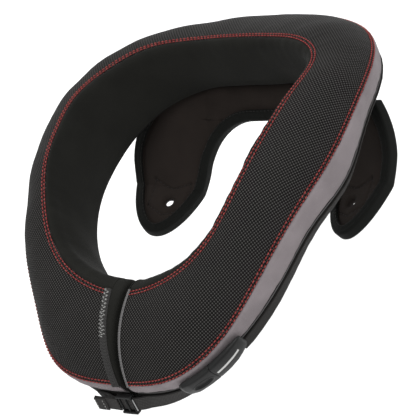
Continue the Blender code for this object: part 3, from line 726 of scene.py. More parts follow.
def knit_material(name, colour, roughness=0.9, pitch=KNIT_PITCH, sheen=0.03, bump=0.00006):
    """Fine smooth cloth: lining, base, yoke and grey side panel."""
    material, shader, w = new_material(name, roughness, sheen=sheen, specular=0.08)
    weave = w.group("Plain weave", Vector=cloth_place(w), Pitch=pitch)
    uneven = w.group("Unevenness", Scale=38.0)
    tone = w.mix(uneven["Slow"], shaded(colour, 0.84), shaded(colour, 1.16))
    # Painted highlight: the raised crowns of the weave are lightened
    tone = w.mix(w.math("MULTIPLY", weave["Height"], 0.35), tone, shaded(colour, 1.45))
    tone = w.mix(w.math("MULTIPLY", uneven["Lint"], 0.22), tone, shaded(colour, 3.2))
    w.feed(shader.inputs["Base Color"], tone)
    w.feed(shader.inputs["Roughness"], w.between(uneven["Fine"], 0.3, 0.7, roughness - 0.08, roughness))
    under = w.bump(uneven["Slow"], 0.0004, 0.25)
    w.feed(shader.inputs["Normal"], w.bump(weave["Height"], bump, 1.0, under))
    return material


def webbing_material(name, colour, rib=0.0011, pick=0.0011):
    """Ribbed tape: webbing, elastic, binding and piping."""
    material, shader, w = new_material(name, 0.75, sheen=0.02, specular=0.1)
    ribs = w.group("Ribs", Vector=cloth_place(w), Rib=rib, Pick=pick)
    uneven = w.group("Unevenness", Scale=70.0)
    tone = w.mix(uneven["Fine"], shaded(colour, 0.75), shaded(colour, 1.3))
    # Painted shade: the grooves between the ribs are darkened to a third of the colour
    w.feed(shader.inputs["Base Color"], w.mix(ribs["Ridge"], shaded(colour, 0.35), tone))
    w.feed(shader.inputs["Roughness"], w.between(ribs["Height"], 0.0, 1.0, 0.9, 0.65))
    w.feed(shader.inputs["Normal"], w.bump(ribs["Height"], 0.00025, 0.9))
    return material


def thread_material(name, colour, light):
    """Twisted thread with a painted highlight on the crown of each stitch, stronger on some stitches than on
    others.
    """
    material, shader, w = new_material(name, 0.55, sheen=0.03, specular=0.2)
    parts = w.split(cloth_place(w))
    twist = w.math("SINE", w.math("ADD", w.math("MULTIPLY", parts[0], 34.0),
                                  w.math("MULTIPLY", parts[2], 5.0)))
    odd = w.math("FRACT", w.math("MULTIPLY", w.math("SINE", w.math("MULTIPLY", parts[1], 12.9898)), 437.5))
    # Painted highlight: the middle of each stitch is mixed towards the light colour, by a random amount per
    # stitch
    crown = w.between(w.math("ABSOLUTE", parts[0]), 0.05, 0.42, 1.0, 0.0)
    share = w.math("MULTIPLY", crown, w.math("ADD", w.math("MULTIPLY", odd, 0.55), 0.35), clamp=True)
    w.feed(shader.inputs["Base Color"], w.mix(share, (*colour, 1.0), (*light, 1.0)))
    w.feed(shader.inputs["Roughness"], w.between(twist, -1.0, 1.0, 0.45, 0.65))
    w.feed(shader.inputs["Normal"], w.bump(twist, 0.00006, 0.8))
    return material


def plastic_material():
    """Fine moulded texture, with one plain printed line on the buckle."""
    c = settings("brace_colours")
    material, shader, w = new_material("moulded plastic", 0.52, specular=0.18)
    uneven = w.group("Unevenness", Scale=90.0)
    parts = w.split(cloth_place(w))
    printed = w.between(parts[2], 0.45, 0.55)
    tone = w.mix(uneven["Slow"], shaded(c.plastic, 0.8), shaded(c.plastic, 1.35))
    w.feed(shader.inputs["Base Color"], w.mix(printed, tone, (*c.stripe, 1.0)))
    w.feed(shader.inputs["Roughness"], w.between(uneven["Fine"], 0.3, 0.7, 0.36, 0.5))
    w.feed(shader.inputs["Normal"], w.bump(uneven["Fine"], 0.00008, 0.5))
    return material


def metal_material():
    """Brushed bar of the slider."""
    c = settings("brace_colours")
    material, shader, w = new_material("brushed metal", 0.35, specular=0.5, metallic=1.0)
    uneven = w.group("Unevenness", Scale=120.0)
    w.feed(shader.inputs["Base Color"], w.mix(uneven["Fine"], shaded(c.metal, 0.8), shaded(c.metal, 1.15)))
    w.feed(shader.inputs["Roughness"], w.between(uneven["Fine"], 0.3, 0.7, 0.28, 0.45))
    return material


def make_materials():
    """Every finish of the brace, by a short name."""
    c = settings("brace_colours")
    plain_weave_group()
    ribs_group()
    shading_group()
    return {
        "ballistic": ballistic_material(),
        "jersey": knit_material("lining jersey", c.jersey),
        "grey": knit_material("grey cloth", c.grey, 0.8, GREY_PITCH, 0.03, 0.00008),
        "base": knit_material("base cloth", c.base, 0.88, GREY_PITCH, 0.02),
        "yoke": knit_material("yoke cloth", c.yoke, 0.86, GREY_PITCH, 0.03),
        "webbing": webbing_material("webbing", c.webbing),
        "front_webbing": webbing_material("front webbing", c.front_webbing),
        "elastic": webbing_material("elastic", c.elastic, 0.0009, 0.0009),
        "binding": webbing_material("binding tape", c.binding, 0.0008, 0.0008),
        "piping": webbing_material("piping", c.piping, 0.0009, 0.0006),
        "red": thread_material("red thread", c.red, c.red_highlight),
        # Overlock and dark thread take a lightened copy of their own colour as the painted highlight on each
        # stitch's crown
        "overlock": thread_material("overlock thread", c.overlock, shaded(c.overlock, 2.4)[:3]),
        "dark": thread_material("dark thread", c.dark_thread, shaded(c.dark_thread, 2.5)[:3]),
        "plastic": plastic_material(),
        "metal": metal_material(),
    }


MATERIALS = {}


def finish_of(name):
    """A finish, made the first time that one is asked for."""
    if not MATERIALS:
        MATERIALS.update(make_materials())
    return MATERIALS[name]


# Covers of the collar

ROUND_STEPS = 900
SEAM_WAVES = (0.0071, 0.0113, 0.0187)
BROAD_WAVES = (0.031, 0.047, 0.083)


# Relief of a cover in metres: pucker at its seams and how far that reaches, broad waves, and how deep
# and how wide its first and last edge are folded in
Relief = namedtuple("Relief", "pucker reach wave fold first last")
PANEL_RELIEF = Relief(0.00028, 0.009, 0.0006, 0.0009, 0.0007, 0.0007)
LINING_RELIEF = Relief(0.00030, 0.010, 0.0005, 0.0009, 0.0008, 0.0008)
SIDE_RELIEF = Relief(0.00018, 0.006, 0.0003, 0.0008, 0.0009, 0.0007)
BASE_RELIEF = Relief(0.0, 0.006, 0.0, 0.0006, 0.0009, 0.0009)
VALLEY_WIDTH, VALLEY_DEPTH, STITCH_PULL = 0.0007, 0.00042, 0.00010


def stitched_valley(across, rows):
    """How deep the cloth is pulled in beside its stitched rows, from 0 to 1."""
    return sum(np.exp(-((across - row) / VALLEY_WIDTH) ** 2) for row in rows)


def folded_in(relief, across, far):
    """How deep a cover's two edges are folded in."""
    return relief.fold * (np.exp(-(across / relief.first) ** 2) + np.exp(-(far / relief.last) ** 2))


def cover_piece(name, line, count, shape, material, slot, nodes, plan=False, fill=0.8):
    """Cover over one stretch of the section, moved along its normals by shape(along, across, width)."""
    turns = ring_turns(ROUND_STEPS)
    lines = line(turns, count)
    places = true_turns(turns, lines[..., 0])
    grid = in_space(lines, places)
    across = run(grid, 1)
    along = run(grid, 0)[:, count // 2:count // 2 + 1] * np.ones_like(across)
    width = across[:, -1:]
    moved = grid + grid_normals(grid) * shape(along, across, width)[..., None]
    cloth = np.stack([along, across], -1)
    if plan:
        reach = lines[:, :1, 0] + across
        cloth = np.stack([reach * np.sin(places), -reach * np.cos(places)], -1)
    inside = closing_line(line, turns)
    rows = np.concatenate([moved, inside], 1)
    flat = np.concatenate([cloth, np.repeat(cloth[:, -1:], inside.shape[1], 1)], 1)
    columns = rows.shape[1]
    item = make_piece(name, rows, grid_faces(ROUND_STEPS, columns, wrap=True), material, flat,
                      end_faces(ROUND_STEPS, columns))
    return fit_piece(item, slot, *nodes, fill=fill)


def closing_line(line, turns, count=4):
    """Back of a cover, one cloth's thickness inside it, from its end to its start."""
    lines = line(turns, 12)
    grid = in_space(lines, true_turns(turns, lines[..., 0]))
    inner = grid - grid_normals(grid) * settings("collar_sizes").cover
    return inner[:, np.linspace(11, 0, count).round().astype(int)]


def red_rows():
    """Distances of the two red rows from their seam."""
    s = settings("stitch_sizes")
    return s.first_row, s.first_row + s.row_gap


def panel_shape(along, across, width):
    """Seam rolls, stitched rows and soft waves of the top panel."""
    relief, far, rows = PANEL_RELIEF, width - across, red_rows()
    dips = stitched_valley(across, rows) + stitched_valley(far, rows)
    near_seam = np.exp(-across / relief.reach) + np.exp(-far / relief.reach)
    pulls = 0.5 + 0.5 * np.cos(2 * math.pi * along / settings("stitch_sizes").pitch)
    return (-dips * (VALLEY_DEPTH + STITCH_PULL * pulls)
            + relief.pucker * near_seam * pucker(along, SEAM_WAVES)
            + relief.wave * pucker(along, BROAD_WAVES) * np.sin(math.pi * across / width)
            - folded_in(relief, across, far))


def lining_shape(along, across, width):
    """Roll of the lining, its seam and a few soft creases."""
    relief, far = LINING_RELIEF, width - across
    return (relief.wave * pucker(along + across * 0.4, BROAD_WAVES)
            + relief.pucker * np.exp(-far / relief.reach) * pucker(along, SEAM_WAVES)
            - folded_in(relief, across, far))


def side_shape(along, across, width):
    """Pucker along both seams of the side panel and its broad waves."""
    relief, far = SIDE_RELIEF, width - across
    near = np.exp(-across / relief.reach) + np.exp(-far / relief.reach)
    return (relief.pucker * near * pucker(along, SEAM_WAVES) + relief.wave * pucker(along, BROAD_WAVES)
            - folded_in(relief, across, far))


def base_shape(along, across, width):
    """Flat cloth with both edges folded in."""
    return -folded_in(BASE_RELIEF, across, width - across)


class BRACE_OT_lining(bpy.types.Operator):
    """Build the smooth lining of the inner wall, rolled over its top"""
    bl_idname = "brace.lining"
    bl_label = "Lining"

    def execute(self, context):
        cover_piece("lining_cloth", wall_line, 42, lining_shape, finish_of("jersey"), "lining_jersey",
                    ("lining", "foam_core"))
        return {"FINISHED"}


class BRACE_OT_top_panel(bpy.types.Operator):
    """Build the padded top panel of coarse weave"""
    bl_idname = "brace.top_panel"
    bl_label = "Top Panel"

    def execute(self, context):
        cover_piece("top_panel_cloth", panel_line, 60, panel_shape, finish_of("ballistic"),
                    "ballistic_cloth", ("top_panel",), plan=True)
        return {"FINISHED"}


SIDE_CORD = 0.00084       # thickness of the light cord under the side panel


class BRACE_OT_side_panel(bpy.types.Operator):
    """Build the grey side panel and the light cord along its lower edge"""
    bl_idname = "brace.side_panel"
    bl_label = "Side Panel"

    def execute(self, context):
        cover_piece("side_panel_cloth", side_line, 18, side_shape, finish_of("grey"), "grey_cloth",
                    ("side_panel",))
        path, normals = ring_path(side_line, 1.0, 0.0)
        points, faces, caps = tube(path, normals, SIDE_CORD / 2, 6)
        cloth = np.stack([run(path[:, None], 0) * np.ones((1, 6)), np.zeros((len(path), 6))], -1)
        fit_piece(make_piece("side_cord", points, faces, finish_of("piping"), cloth, caps), "piping")
        return {"FINISHED"}


class BRACE_OT_base_panel(bpy.types.Operator):
    """Build the hem and the cloth under the collar"""
    bl_idname = "brace.base_panel"
    bl_label = "Base Panel"

    def execute(self, context):
        cover_piece("base_panel_cloth", base_line, 24, base_shape, finish_of("base"), "black_cloth",
                    ("base_panel",))
        return {"FINISHED"}


def ring_path(line, share, inset, lift=0.0, steps=1800, span=(0.0, 1.0)):
    """Path round the collar on one cover line: at a share of it, moved on by inset metres."""
    start, end = ring_turns(2)
    turns = np.linspace(start + (end - start) * span[0], start + (end - start) * span[1], steps)
    lines = line(turns, 61)
    grid = in_space(lines, true_turns(turns, lines[..., 0]))
    normals = grid_normals(grid)
    across = run(grid, 1)
    target = across[:, -1] * share + inset
    spots, ups = [], []
    for k in range(3):
        spots.append([np.interp(t, a, g) for t, a, g in zip(target, across, grid[..., k])])
        ups.append([np.interp(t, a, g) for t, a, g in zip(target, across, normals[..., k])])
    path, up = np.array(spots).T, unit(np.array(ups).T)
    return path + up * lift, up


class BRACE_OT_red_stitching(bpy.types.Operator):
    """Sew the double red rows along both seams of the top panel"""
    bl_idname = "brace.red_stitching"
    bl_label = "Red Stitching"

    def execute(self, context):
        s = settings("stitch_sizes")
        for name, share, sign in (("inner_stitching", 0.0, 1), ("outer_stitching", 1.0, -1)):
            rows = []
            for row in red_rows():
                path, up = ring_path(panel_line, share, sign * row, lift=-0.00020)
                rows.append(stitches(path, up, s.pitch, s.thread))
            thread_piece(name, rows, finish_of("red"), "ballistic_cloth")
        return {"FINISHED"}


# Front ends of the collar

CAP_SIDES, CAP_STEPS = 120, 8
CAP_FACE_SHARES = (0.2, 0.4, 0.6, 0.8, 0.999)
CAP_SWELL = 0.0009        # how far the face of a soft end swells into the split


def end_cap(name, side, node):
    """Soft rounded end of one half, closed towards its middle."""
    s = settings("collar_sizes")
    turn = end_turn(side, seam_radius(), 0.0)
    outline = whole_line(turn, CAP_SIDES)[0]
    middle = np.array([outline[:, 0].mean(), outline[:, 1].mean()])
    room = min(s.cap_round, s.left_cap if side == "left" else s.cap_round)
    rings = []
    for step in np.linspace(0, 1, CAP_STEPS):
        angle = step * math.pi / 2
        inset = s.cap_round * (1 - math.cos(angle))
        away = unit(outline - middle)
        ring = outline - away * inset
        reach = np.arcsin((face_depth(side) + room * (1 - math.sin(angle))) / ring[:, 0])
        if step == 0:
            reach = np.arcsin((face_depth(side) + cap_length(side, ring[:, 0])) / ring[:, 0])
        rings.append(in_space(ring, reach if side == "left" else -reach))
    face = outline - unit(outline - middle) * s.cap_round
    for share in CAP_FACE_SHARES:
        ring = face + (middle - face) * share
        swell = CAP_SWELL * math.sin(math.pi / 2 * share)
        reach = np.arcsin((face_depth(side) - min(swell, s.split / 4)) / ring[:, 0])
        rings.append(in_space(ring, reach if side == "left" else -reach))
    grid = np.array(rings)
    cloth = np.stack([run(grid, 0), run(grid, 1)], -1)
    last = range((len(rings) - 1) * grid.shape[1], len(rings) * grid.shape[1])
    item = make_piece(name, grid, grid_faces(*grid.shape[:2], wrap=True), finish_of("jersey"), cloth,
                      [last])
    return fit_piece(item, "lining_jersey", node, fill=0.8)


class BRACE_OT_end_caps(bpy.types.Operator):
    """Close both ends of the collar with soft rounded cloth"""
    bl_idname = "brace.end_caps"
    bl_label = "End Caps"

    def execute(self, context):
        end_cap("left_soft_end", "left", "left_end_cap")
        end_cap("right_soft_end", "right", "right_end_cap")
        return {"FINISHED"}


def edge_grid(side, distances, count):
    """Points of the top panel's line at flat cuts behind one end; normals stand out of the panel."""
    rows = []
    for distance in distances:
        turn = end_turn(side, seam_radius(), float(distance))
        line = panel_line(turn, count)
        rows.append(in_space(line, end_turn(side, line[..., 0], float(distance)))[0])
    grid = np.array(rows)
    up = grid_normals(grid)
    return grid, up if side == "left" else -up


BAND_ROWS, BAND_COLUMNS = 17, 240
GATHER_PITCH = 0.0019     # one ridge of the gathered elastic
GATHER_START, GATHER_RUN = 0.42, 0.15   # where the gathers grow, as shares of the band's length
BAND_TUCK = 0.0006        # how far the band's sides reach into the cover
ZIGZAGS, ZIGZAG_SHARE, ZIGZAG_SWING = 26, 0.50, 0.42


class BRACE_OT_gathered_edge(bpy.types.Operator):
    """Build the gathered elastic over the right edge, with its overlock thread"""
    bl_idname = "brace.gathered_edge"
    bl_label = "Gathered Edge"

    def execute(self, context):
        s = settings("collar_sizes")
        distances = np.linspace(s.gap, s.gap + s.edge_band, BAND_ROWS)
        grid, up = edge_grid("right", distances, BAND_COLUMNS)
        across = np.linspace(-1, 1, len(distances))[:, None]
        down = np.linspace(0, 1, grid.shape[1])[None]
        crown = (1 - across ** 4) ** 0.5
        gather = 0.25 + 0.75 * np.clip((down - GATHER_START) / GATHER_RUN, 0, 1)
        length_down = run(grid, 1)
        ridges = np.abs(np.sin(math.pi * (length_down / GATHER_PITCH + 0.12 * np.sin(5 * across))))
        height = s.gap + s.edge_raise * crown * (0.72 + 0.42 * gather * (ridges - 0.5))
        top = grid + up * height[..., None]
        low = grid[[0, -1]] - up[[0, -1]] * BAND_TUCK
        rows = np.concatenate([low[:1], top, low[1:]], 0)
        cloth = np.stack([np.concatenate([length_down[:1], length_down, length_down[-1:]]),
                          np.broadcast_to(np.arange(len(rows))[:, None] * 0.0004, rows.shape[:2])], -1)
        band = make_piece("gathered_band", rows, grid_faces(*rows.shape[:2], wrap=False),
                          finish_of("elastic"), cloth)
        fit_piece(band, "elastic", "gathered_edge")
        share = np.linspace(0, 1, ZIGZAGS * 6)
        swing = np.arcsin(np.sin(math.pi * ZIGZAGS * share)) / (math.pi / 2)
        columns = (3 + share * ZIGZAG_SHARE * (BAND_COLUMNS - 4)).astype(int)
        rows_at = np.clip((BAND_ROWS - 1) * (0.5 + ZIGZAG_SWING * swing), 0, BAND_ROWS - 1).astype(int)
        path = top[rows_at, columns] + up[rows_at, columns] * 0.0002
        sewn = [stitches(path[k:k + 7], up[rows_at, columns][k:k + 7], 0.0022, 0.0007, lift=0.2, sink=0.1)
                for k in range(0, len(path) - 7, 6)]
        thread_piece("overlock_thread", sewn, finish_of("overlock"), "elastic")
        return {"FINISHED"}


PIPING_STEPS, PIPING_TWIST = 160, 0.0016


class BRACE_OT_edge_piping(bpy.types.Operator):
    """Lay the light cut-edge piping along the left edge"""
    bl_idname = "brace.edge_piping"
    bl_label = "Edge Piping"

    def execute(self, context):
        s = settings("collar_sizes")
        grid, up = edge_grid("left", (s.gap, s.gap + s.piping / 2, s.gap + s.piping),
                             PIPING_STEPS)
        path = grid[1] + up[1] * s.piping * 0.25
        points, faces, caps = tube(path, up[1], s.piping * 0.48, 8)
        twist = 1 + 0.10 * np.sin(2 * math.pi * run(path[:, None], 0)[:, 0] / PIPING_TWIST)
        points = path[:, None] + (points - path[:, None]) * twist[:, None, None]
        cloth = np.stack([run(path[:, None], 0) * np.ones((1, 8)),
                          np.ones((PIPING_STEPS, 1)) * np.arange(8) * 0.0005], -1)
        fit_piece(make_piece("cut_edge_piping", points, faces, finish_of("piping"), cloth, caps),
                  "piping", "edge_piping")
        return {"FINISHED"}


# Straps, slider and buckle

def rim_places(turns, along_hem=True):
    """Hem corner in space at each angle, with the outward and upward directions there."""
    c = corners(turns)
    up = unit((c.hem if along_hem else c.seam) - c.under)
    out = np.stack([up[:, 1], -up[:, 0]], 1)
    radial = np.stack([np.sin(turns), -np.cos(turns)], 1)

    def lifted(pair):
        return np.concatenate([radial * pair[:, :1], pair[:, 1:]], 1)

    return lifted(c.hem), lifted(out), lifted(up)


def hem_turn(distance):
    """Angle of the hem taken up by a distance."""
    return distance / corners(0.0).hem[0, 0]


def strap_profile(half, thickness, count=14):
    """Flat tape with rounded edges and slightly thicker selvedges, as outward and upward distances."""
    across = np.concatenate([np.linspace(1, -1, count), np.linspace(-1, 1, count)])
    side = np.concatenate([np.ones(count), np.zeros(count)])
    edge = np.abs(across) ** 8
    bead = 0.12 * np.exp(-((np.abs(across) - 0.86) / 0.07) ** 2)
    outward = np.where(side > 0, thickness * (1 - 0.42 * edge + bead), thickness * 0.42 * edge)
    return np.stack([outward, across * half], 1)


def tape_cloth(along, profile):
    """Distances along and across a tape, for its ribs."""
    along = along[:, None] * np.ones((1, len(profile)))
    return np.stack([along, np.broadcast_to(profile[:, 1], along.shape)], -1)


def strap_piece(name, turns, lift, half, material, slot, nodes):
    """Webbing along the hem; lift says how far it stands off at each angle."""
    s, collar = settings("strap_sizes"), settings("collar_sizes")
    origin, out, up = rim_places(turns)
    origin = origin + out * (collar.gap + lift)[:, None] - up * collar.hem / 2
    profile = strap_profile(half, s.webbing)
    points, faces, caps = sweep((origin, out, up), profile)
    cloth = tape_cloth(run(origin[:, None], 0)[:, 0], profile)
    return fit_piece(make_piece(name, points, faces, material, cloth, caps), slot, *nodes)


def slider_stand(turns):
    """How far the front strap stands off the hem near the slider."""
    s = settings("strap_sizes")
    away = np.abs(turns - s.slider_middle) / hem_turn(s.slider_length)
    share = np.clip(1.6 - away, 0, 1)
    return s.slider_lift * share * share * (3 - 2 * share)


class BRACE_OT_straps(bpy.types.Operator):
    """Lay the rim strap, the front strap and its folded tail"""
    bl_idname = "brace.straps"
    bl_label = "Straps"

    def execute(self, context):
        s, collar = settings("strap_sizes"), settings("collar_sizes")
        half = collar.hem / 2 - collar.gap
        turns = np.linspace(s.rim_start, s.rim_end, 700)
        strap_piece("rim_webbing", turns, 0.00012 * (1 + pucker(turns * 0.11, SEAM_WAVES)), half,
                    finish_of("webbing"), "webbing", ("rim_strap",))
        turns = np.linspace(s.front_start, s.front_end, 140)
        strap_piece("front_webbing", turns, slider_stand(turns), s.front_width / 2,
                    finish_of("front_webbing"), "webbing", ("front_strap",))
        tail_piece(s.front_width / 2)
        return {"FINISHED"}


def tail_places(distances):
    """Straight run of the tail out of the slider."""
    s, collar = settings("strap_sizes"), settings("collar_sizes")
    start = s.slider_middle - hem_turn(s.slider_length / 2 + collar.gap)
    origin, out, up = rim_places(np.full(len(distances), start))
    along = np.array([-math.cos(start), -math.sin(start), 0.0])
    stand = 2 * collar.gap + s.slider_lift + s.webbing
    return origin + along * np.asarray(distances)[:, None] + out * stand - up * collar.hem / 2, out, up


TAIL_PITCH, TAIL_THREAD = 0.0018, 0.00045
FOLD_WIDTH, FOLD_LEVEL = 0.985, 0.98      # folded layer of the tail, as shares of the layer below
TAIL_STITCH_SPOTS = (0.0014, -0.0016)     # sewn rows behind the start and before the end of the fold


def tail_piece(half):
    """Free end of the strap, with its end folded back and sewn."""
    s = settings("strap_sizes")
    profile = strap_profile(half, s.webbing)
    straight = np.linspace(0, s.tail, 60)
    fold = np.linspace(s.tail - s.tail_fold, s.tail, 40)
    round_end = 0.5 + 0.5 * np.sqrt(np.clip(1 - ((fold - fold.mean()) / s.tail_fold * 2) ** 6, 0, 1))
    upper = np.stack([s.webbing * FOLD_LEVEL + np.outer(round_end, profile[:, 0]),
                      np.outer(np.ones(len(fold)), profile[:, 1] * FOLD_WIDTH)], -1)
    points, faces, caps = join_parts([sweep(tail_places(straight), profile), sweep(tail_places(fold), upper)])
    cloth = [tape_cloth(straight, profile), tape_cloth(fold, profile * FOLD_WIDTH)]
    item = make_piece("tail_webbing", points, faces, finish_of("front_webbing"),
                      np.concatenate([part.reshape(-1, 2) for part in cloth]), caps)
    fit_piece(item, "webbing", "strap_tail")
    rows = []
    for spot in (fold[0] + TAIL_STITCH_SPOTS[0], fold[-1] + TAIL_STITCH_SPOTS[1]):
        here, away, upward = tail_places(np.array([spot, spot + 1e-4]))
        shares = np.linspace(-0.88, 0.88, 20)[:, None]
        path = here[0] + away[0] * s.webbing * 2.02 + upward[0] * shares * half
        rows.append(stitches(path, np.repeat(away[:1], 20, 0), TAIL_PITCH, TAIL_THREAD))
    thread_piece("tail_stitches", rows, finish_of("overlock"), "webbing")


def bar_profile(low, high, half, corner, middle=0.0, steps=5):
    """Rounded bar section, as outward and upward distances."""
    points = []
    for sx, sy, start in ((1, 1, 0), (-1, 1, 90), (-1, -1, 180), (1, -1, 270)):
        cx = middle + sx * (half - corner)
        cy = (high - corner) if sy > 0 else (low + corner)
        for step in range(steps):
            angle = math.radians(start + 90 * step / (steps - 1))
            points.append((cy + corner * math.sin(angle), cx + corner * math.cos(angle)))
    return np.array(points)


class BRACE_OT_slider(bpy.types.Operator):
    """Build the slider frame round the front strap, with its metal bar"""
    bl_idname = "brace.slider"
    bl_label = "Slider"

    def execute(self, context):
        s, collar = settings("strap_sizes"), settings("collar_sizes")
        half = s.front_width / 2 + collar.gap
        lift = collar.gap + s.slider_lift
        low, high = lift - s.slider_rail, lift + s.webbing + collar.gap + s.slider_rail
        parts = []
        edge = s.slider_length / 2 - s.slider_rail / 2
        for middle in (-edge, 0.0, edge):
            parts.append(slider_bar(middle, high - s.slider_rail * 0.9, s.slider_rail * 0.5,
                                    half + s.slider_rail * 0.6))
        for side in (-1, 1):
            parts.append(slider_rail(side * (half + s.slider_rail * 0.55), low, high))
        points, faces, caps = join_parts(parts)
        item = make_piece("slider_frame", points, faces, finish_of("plastic"), np.zeros((len(points), 3)),
                          caps)
        fit_piece(item, "moulded_plastic", "strap_slider")
        points, faces, caps = slider_bar(edge + s.slider_rail * 0.9, high - s.slider_rail * 0.8,
                                         s.slider_rail * 0.30, half * 0.90)
        fit_piece(make_piece("slider_bar", points, faces, finish_of("metal"), None, caps),
                  "moulded_plastic")
        return {"FINISHED"}


BAR_STEPS = 14


def slider_bar(middle, level, radius, half):
    """Round bar across the strap, a distance from the slider's middle."""
    s, collar = settings("strap_sizes"), settings("collar_sizes")
    turn = np.array([s.slider_middle + hem_turn(middle)])
    origin, out, up = rim_places(turn)
    shares = np.sin(np.linspace(-math.pi / 2, math.pi / 2, BAR_STEPS))
    path = origin + out * level + up * (shares[:, None] * half - collar.hem / 2)
    girth = radius * (np.maximum(0.04, 1 - shares ** 14)) ** 0.5
    points, faces, caps = tube(path, np.repeat(out, BAR_STEPS, 0), 1.0, 10)
    points = path[:, None] + (points - path[:, None]) * girth[:, None, None]
    return points, faces, caps


def slider_rail(height, low, high):
    """Side rail of the slider, along the strap's edge."""
    s, collar = settings("strap_sizes"), settings("collar_sizes")
    reach = hem_turn(s.slider_length / 2)
    turns = s.slider_middle + np.linspace(-reach, reach, 16)
    origin, out, up = rim_places(turns)
    profile = bar_profile(low + s.slider_rail * 0.5, high, s.slider_rail * 0.55, s.slider_rail * 0.35,
                          height - collar.hem / 2)
    return sweep((origin, out, up), profile)


BuckleRow = namedtuple("BuckleRow", "along width droop")
SOCKET_ROWS = (
    BuckleRow(0.0, 0.985, 0.0003), BuckleRow(0.02, 1.0, 0.0), BuckleRow(0.3, 1.0, 0.0),
    BuckleRow(0.6, 0.94, 0.0004), BuckleRow(0.85, 0.80, 0.0014), BuckleRow(0.97, 0.68, 0.0024),
    BuckleRow(1.0, 0.60, 0.0032),
)
PLUG_ROWS = (
    BuckleRow(0.0, 0.36, 0.0036), BuckleRow(0.03, 0.55, 0.0026), BuckleRow(0.08, 0.70, 0.0015),
    BuckleRow(0.16, 0.84, 0.0007), BuckleRow(0.35, 0.97, 0.0), BuckleRow(0.7, 1.0, 0.0),
    BuckleRow(0.98, 1.0, 0.0), BuckleRow(1.0, 0.985, 0.0003),
)


BUCKLE_STEPS, BUCKLE_SIDES = 64, 22
RECESS_RIM = 0.00022      # raised rim round the thumb recess
LINE_HALF, LINE_RISE = 0.0009, 0.0004     # half width of the printed line, and its place above the middle
LINE_SPAN = (0.08, 0.80)


def recess_dent(turn, outline):
    """How deep the oval thumb recess lies under the points of one section."""
    s = settings("strap_sizes")
    middle = (s.buckle_start + s.buckle_mouth) / 2 + s.recess_offset
    away, level = (turn - middle) / hem_turn(s.recess_length / 2), outline[:, 1] / (s.recess_width / 2)
    spot = np.sqrt(away ** 2 + level ** 2)
    return s.recess_depth * smooth(1.08, 0.80, spot) - RECESS_RIM * np.exp(-((spot - 1.14) / 0.10) ** 2)


def printed_line(turn, level):
    """Mask of the plain line printed on the buckle's body, at a height above its middle."""
    s = settings("strap_sizes")
    share = (turn - s.buckle_mouth) / (s.buckle_end - s.buckle_mouth)
    return (LINE_SPAN[0] < share < LINE_SPAN[1]) * (np.abs(level - LINE_RISE) < LINE_HALF)


def buckle_half(name, rows, start, end, recess, node):
    """Smooth half of the buckle with a crowned face; the nose has an oval thumb recess."""
    s, collar = settings("strap_sizes"), settings("collar_sizes")
    share = np.linspace(0, 1, BUCKLE_STEPS)
    share = share - 0.06 * np.sin(2 * math.pi * share)
    width, droop = (np.interp(share, [r.along for r in rows], [getattr(r, key) for r in rows])
                    for key in ("width", "droop"))
    turns = start + (end - start) * share
    low = 2 * collar.gap + s.webbing
    loops, cloth = [], []
    for turn, narrowed, lowered in zip(turns, width, droop):
        high = low + s.buckle_thickness - lowered
        outline = buckle_outline(low, high, s.buckle_width / 2 * narrowed, BUCKLE_SIDES)
        face = outline[:, 0] > low + (high - low) * 0.7
        mask = np.zeros(len(outline))
        if recess:
            outline[:, 0] -= face * recess_dent(turn, outline)
        else:
            mask = face * printed_line(turn, outline[:, 1])
        outline[:, 1] += s.buckle_middle
        loops.append(outline)
        cloth.append(np.stack([np.full(len(outline), turn * 0.12), outline[:, 1], mask], 1))
    points, faces, caps = sweep(rim_places(turns, along_hem=False), np.array(loops))
    item = make_piece(name, points, faces, finish_of("plastic"), np.array(cloth), caps)
    item.data.set_sharp_from_angle(angle=math.radians(50))
    return fit_piece(item, "moulded_plastic", node)


def smooth(start, end, value):
    """Nought at start and one at end, eased between them."""
    share = np.clip((value - start) / (end - start), 0, 1)
    return share * share * (3 - 2 * share)


BUCKLE_CORNER, BUCKLE_CROWN = 0.0024, 0.0005
BUCKLE_ARC, BUCKLE_BACK = 7, 8


def buckle_outline(low, high, half, sides):
    """Section of the buckle: flat back, crowned face and rounded edges."""
    corner = min(BUCKLE_CORNER, half * 0.6, (high - low) * 0.48)
    arcs = bar_profile(low, high, half, corner, 0.0, BUCKLE_ARC).reshape(4, BUCKLE_ARC, 2)
    flat = half - corner
    face = [(high + BUCKLE_CROWN * (1 - across ** 2), across * flat)
            for across in np.linspace(0.999, -0.999, sides * 2)]
    back = [(low, across * flat) for across in np.linspace(-1, 1, BUCKLE_BACK)[1:-1]]
    return np.concatenate([arcs[0], face, arcs[1], arcs[2], back, arcs[3]])


class BRACE_OT_buckle(bpy.types.Operator):
    """Build both halves of the side-release buckle"""
    bl_idname = "brace.buckle"
    bl_label = "Buckle"

    def execute(self, context):
        s, collar = settings("strap_sizes"), settings("collar_sizes")
        buckle_half("buckle_nose", PLUG_ROWS, s.buckle_start, s.buckle_mouth, True, "buckle_plug")
        buckle_half("buckle_body", SOCKET_ROWS, s.buckle_mouth + hem_turn(collar.gap), s.buckle_end,
                    False, "buckle_socket")
        return {"FINISHED"}


# Yoke

def foot_height(x, y):
    """Height of the collar's foot cloth above points of the plan."""
    radius, turn = np.hypot(x, y), np.arctan2(np.abs(x), -y)
    c = corners(turn.ravel())
    foot, under = (part.reshape(*x.shape, 2) for part in (c.foot, c.under))
    share = (radius - foot[..., 0]) / (under[..., 0] - foot[..., 0])
    return foot[..., 1] + (under[..., 1] - foot[..., 1]) * np.clip(share, -0.4, 1.2)


YOKE_EASE = 0.003         # how softly the climb meets the collar's foot


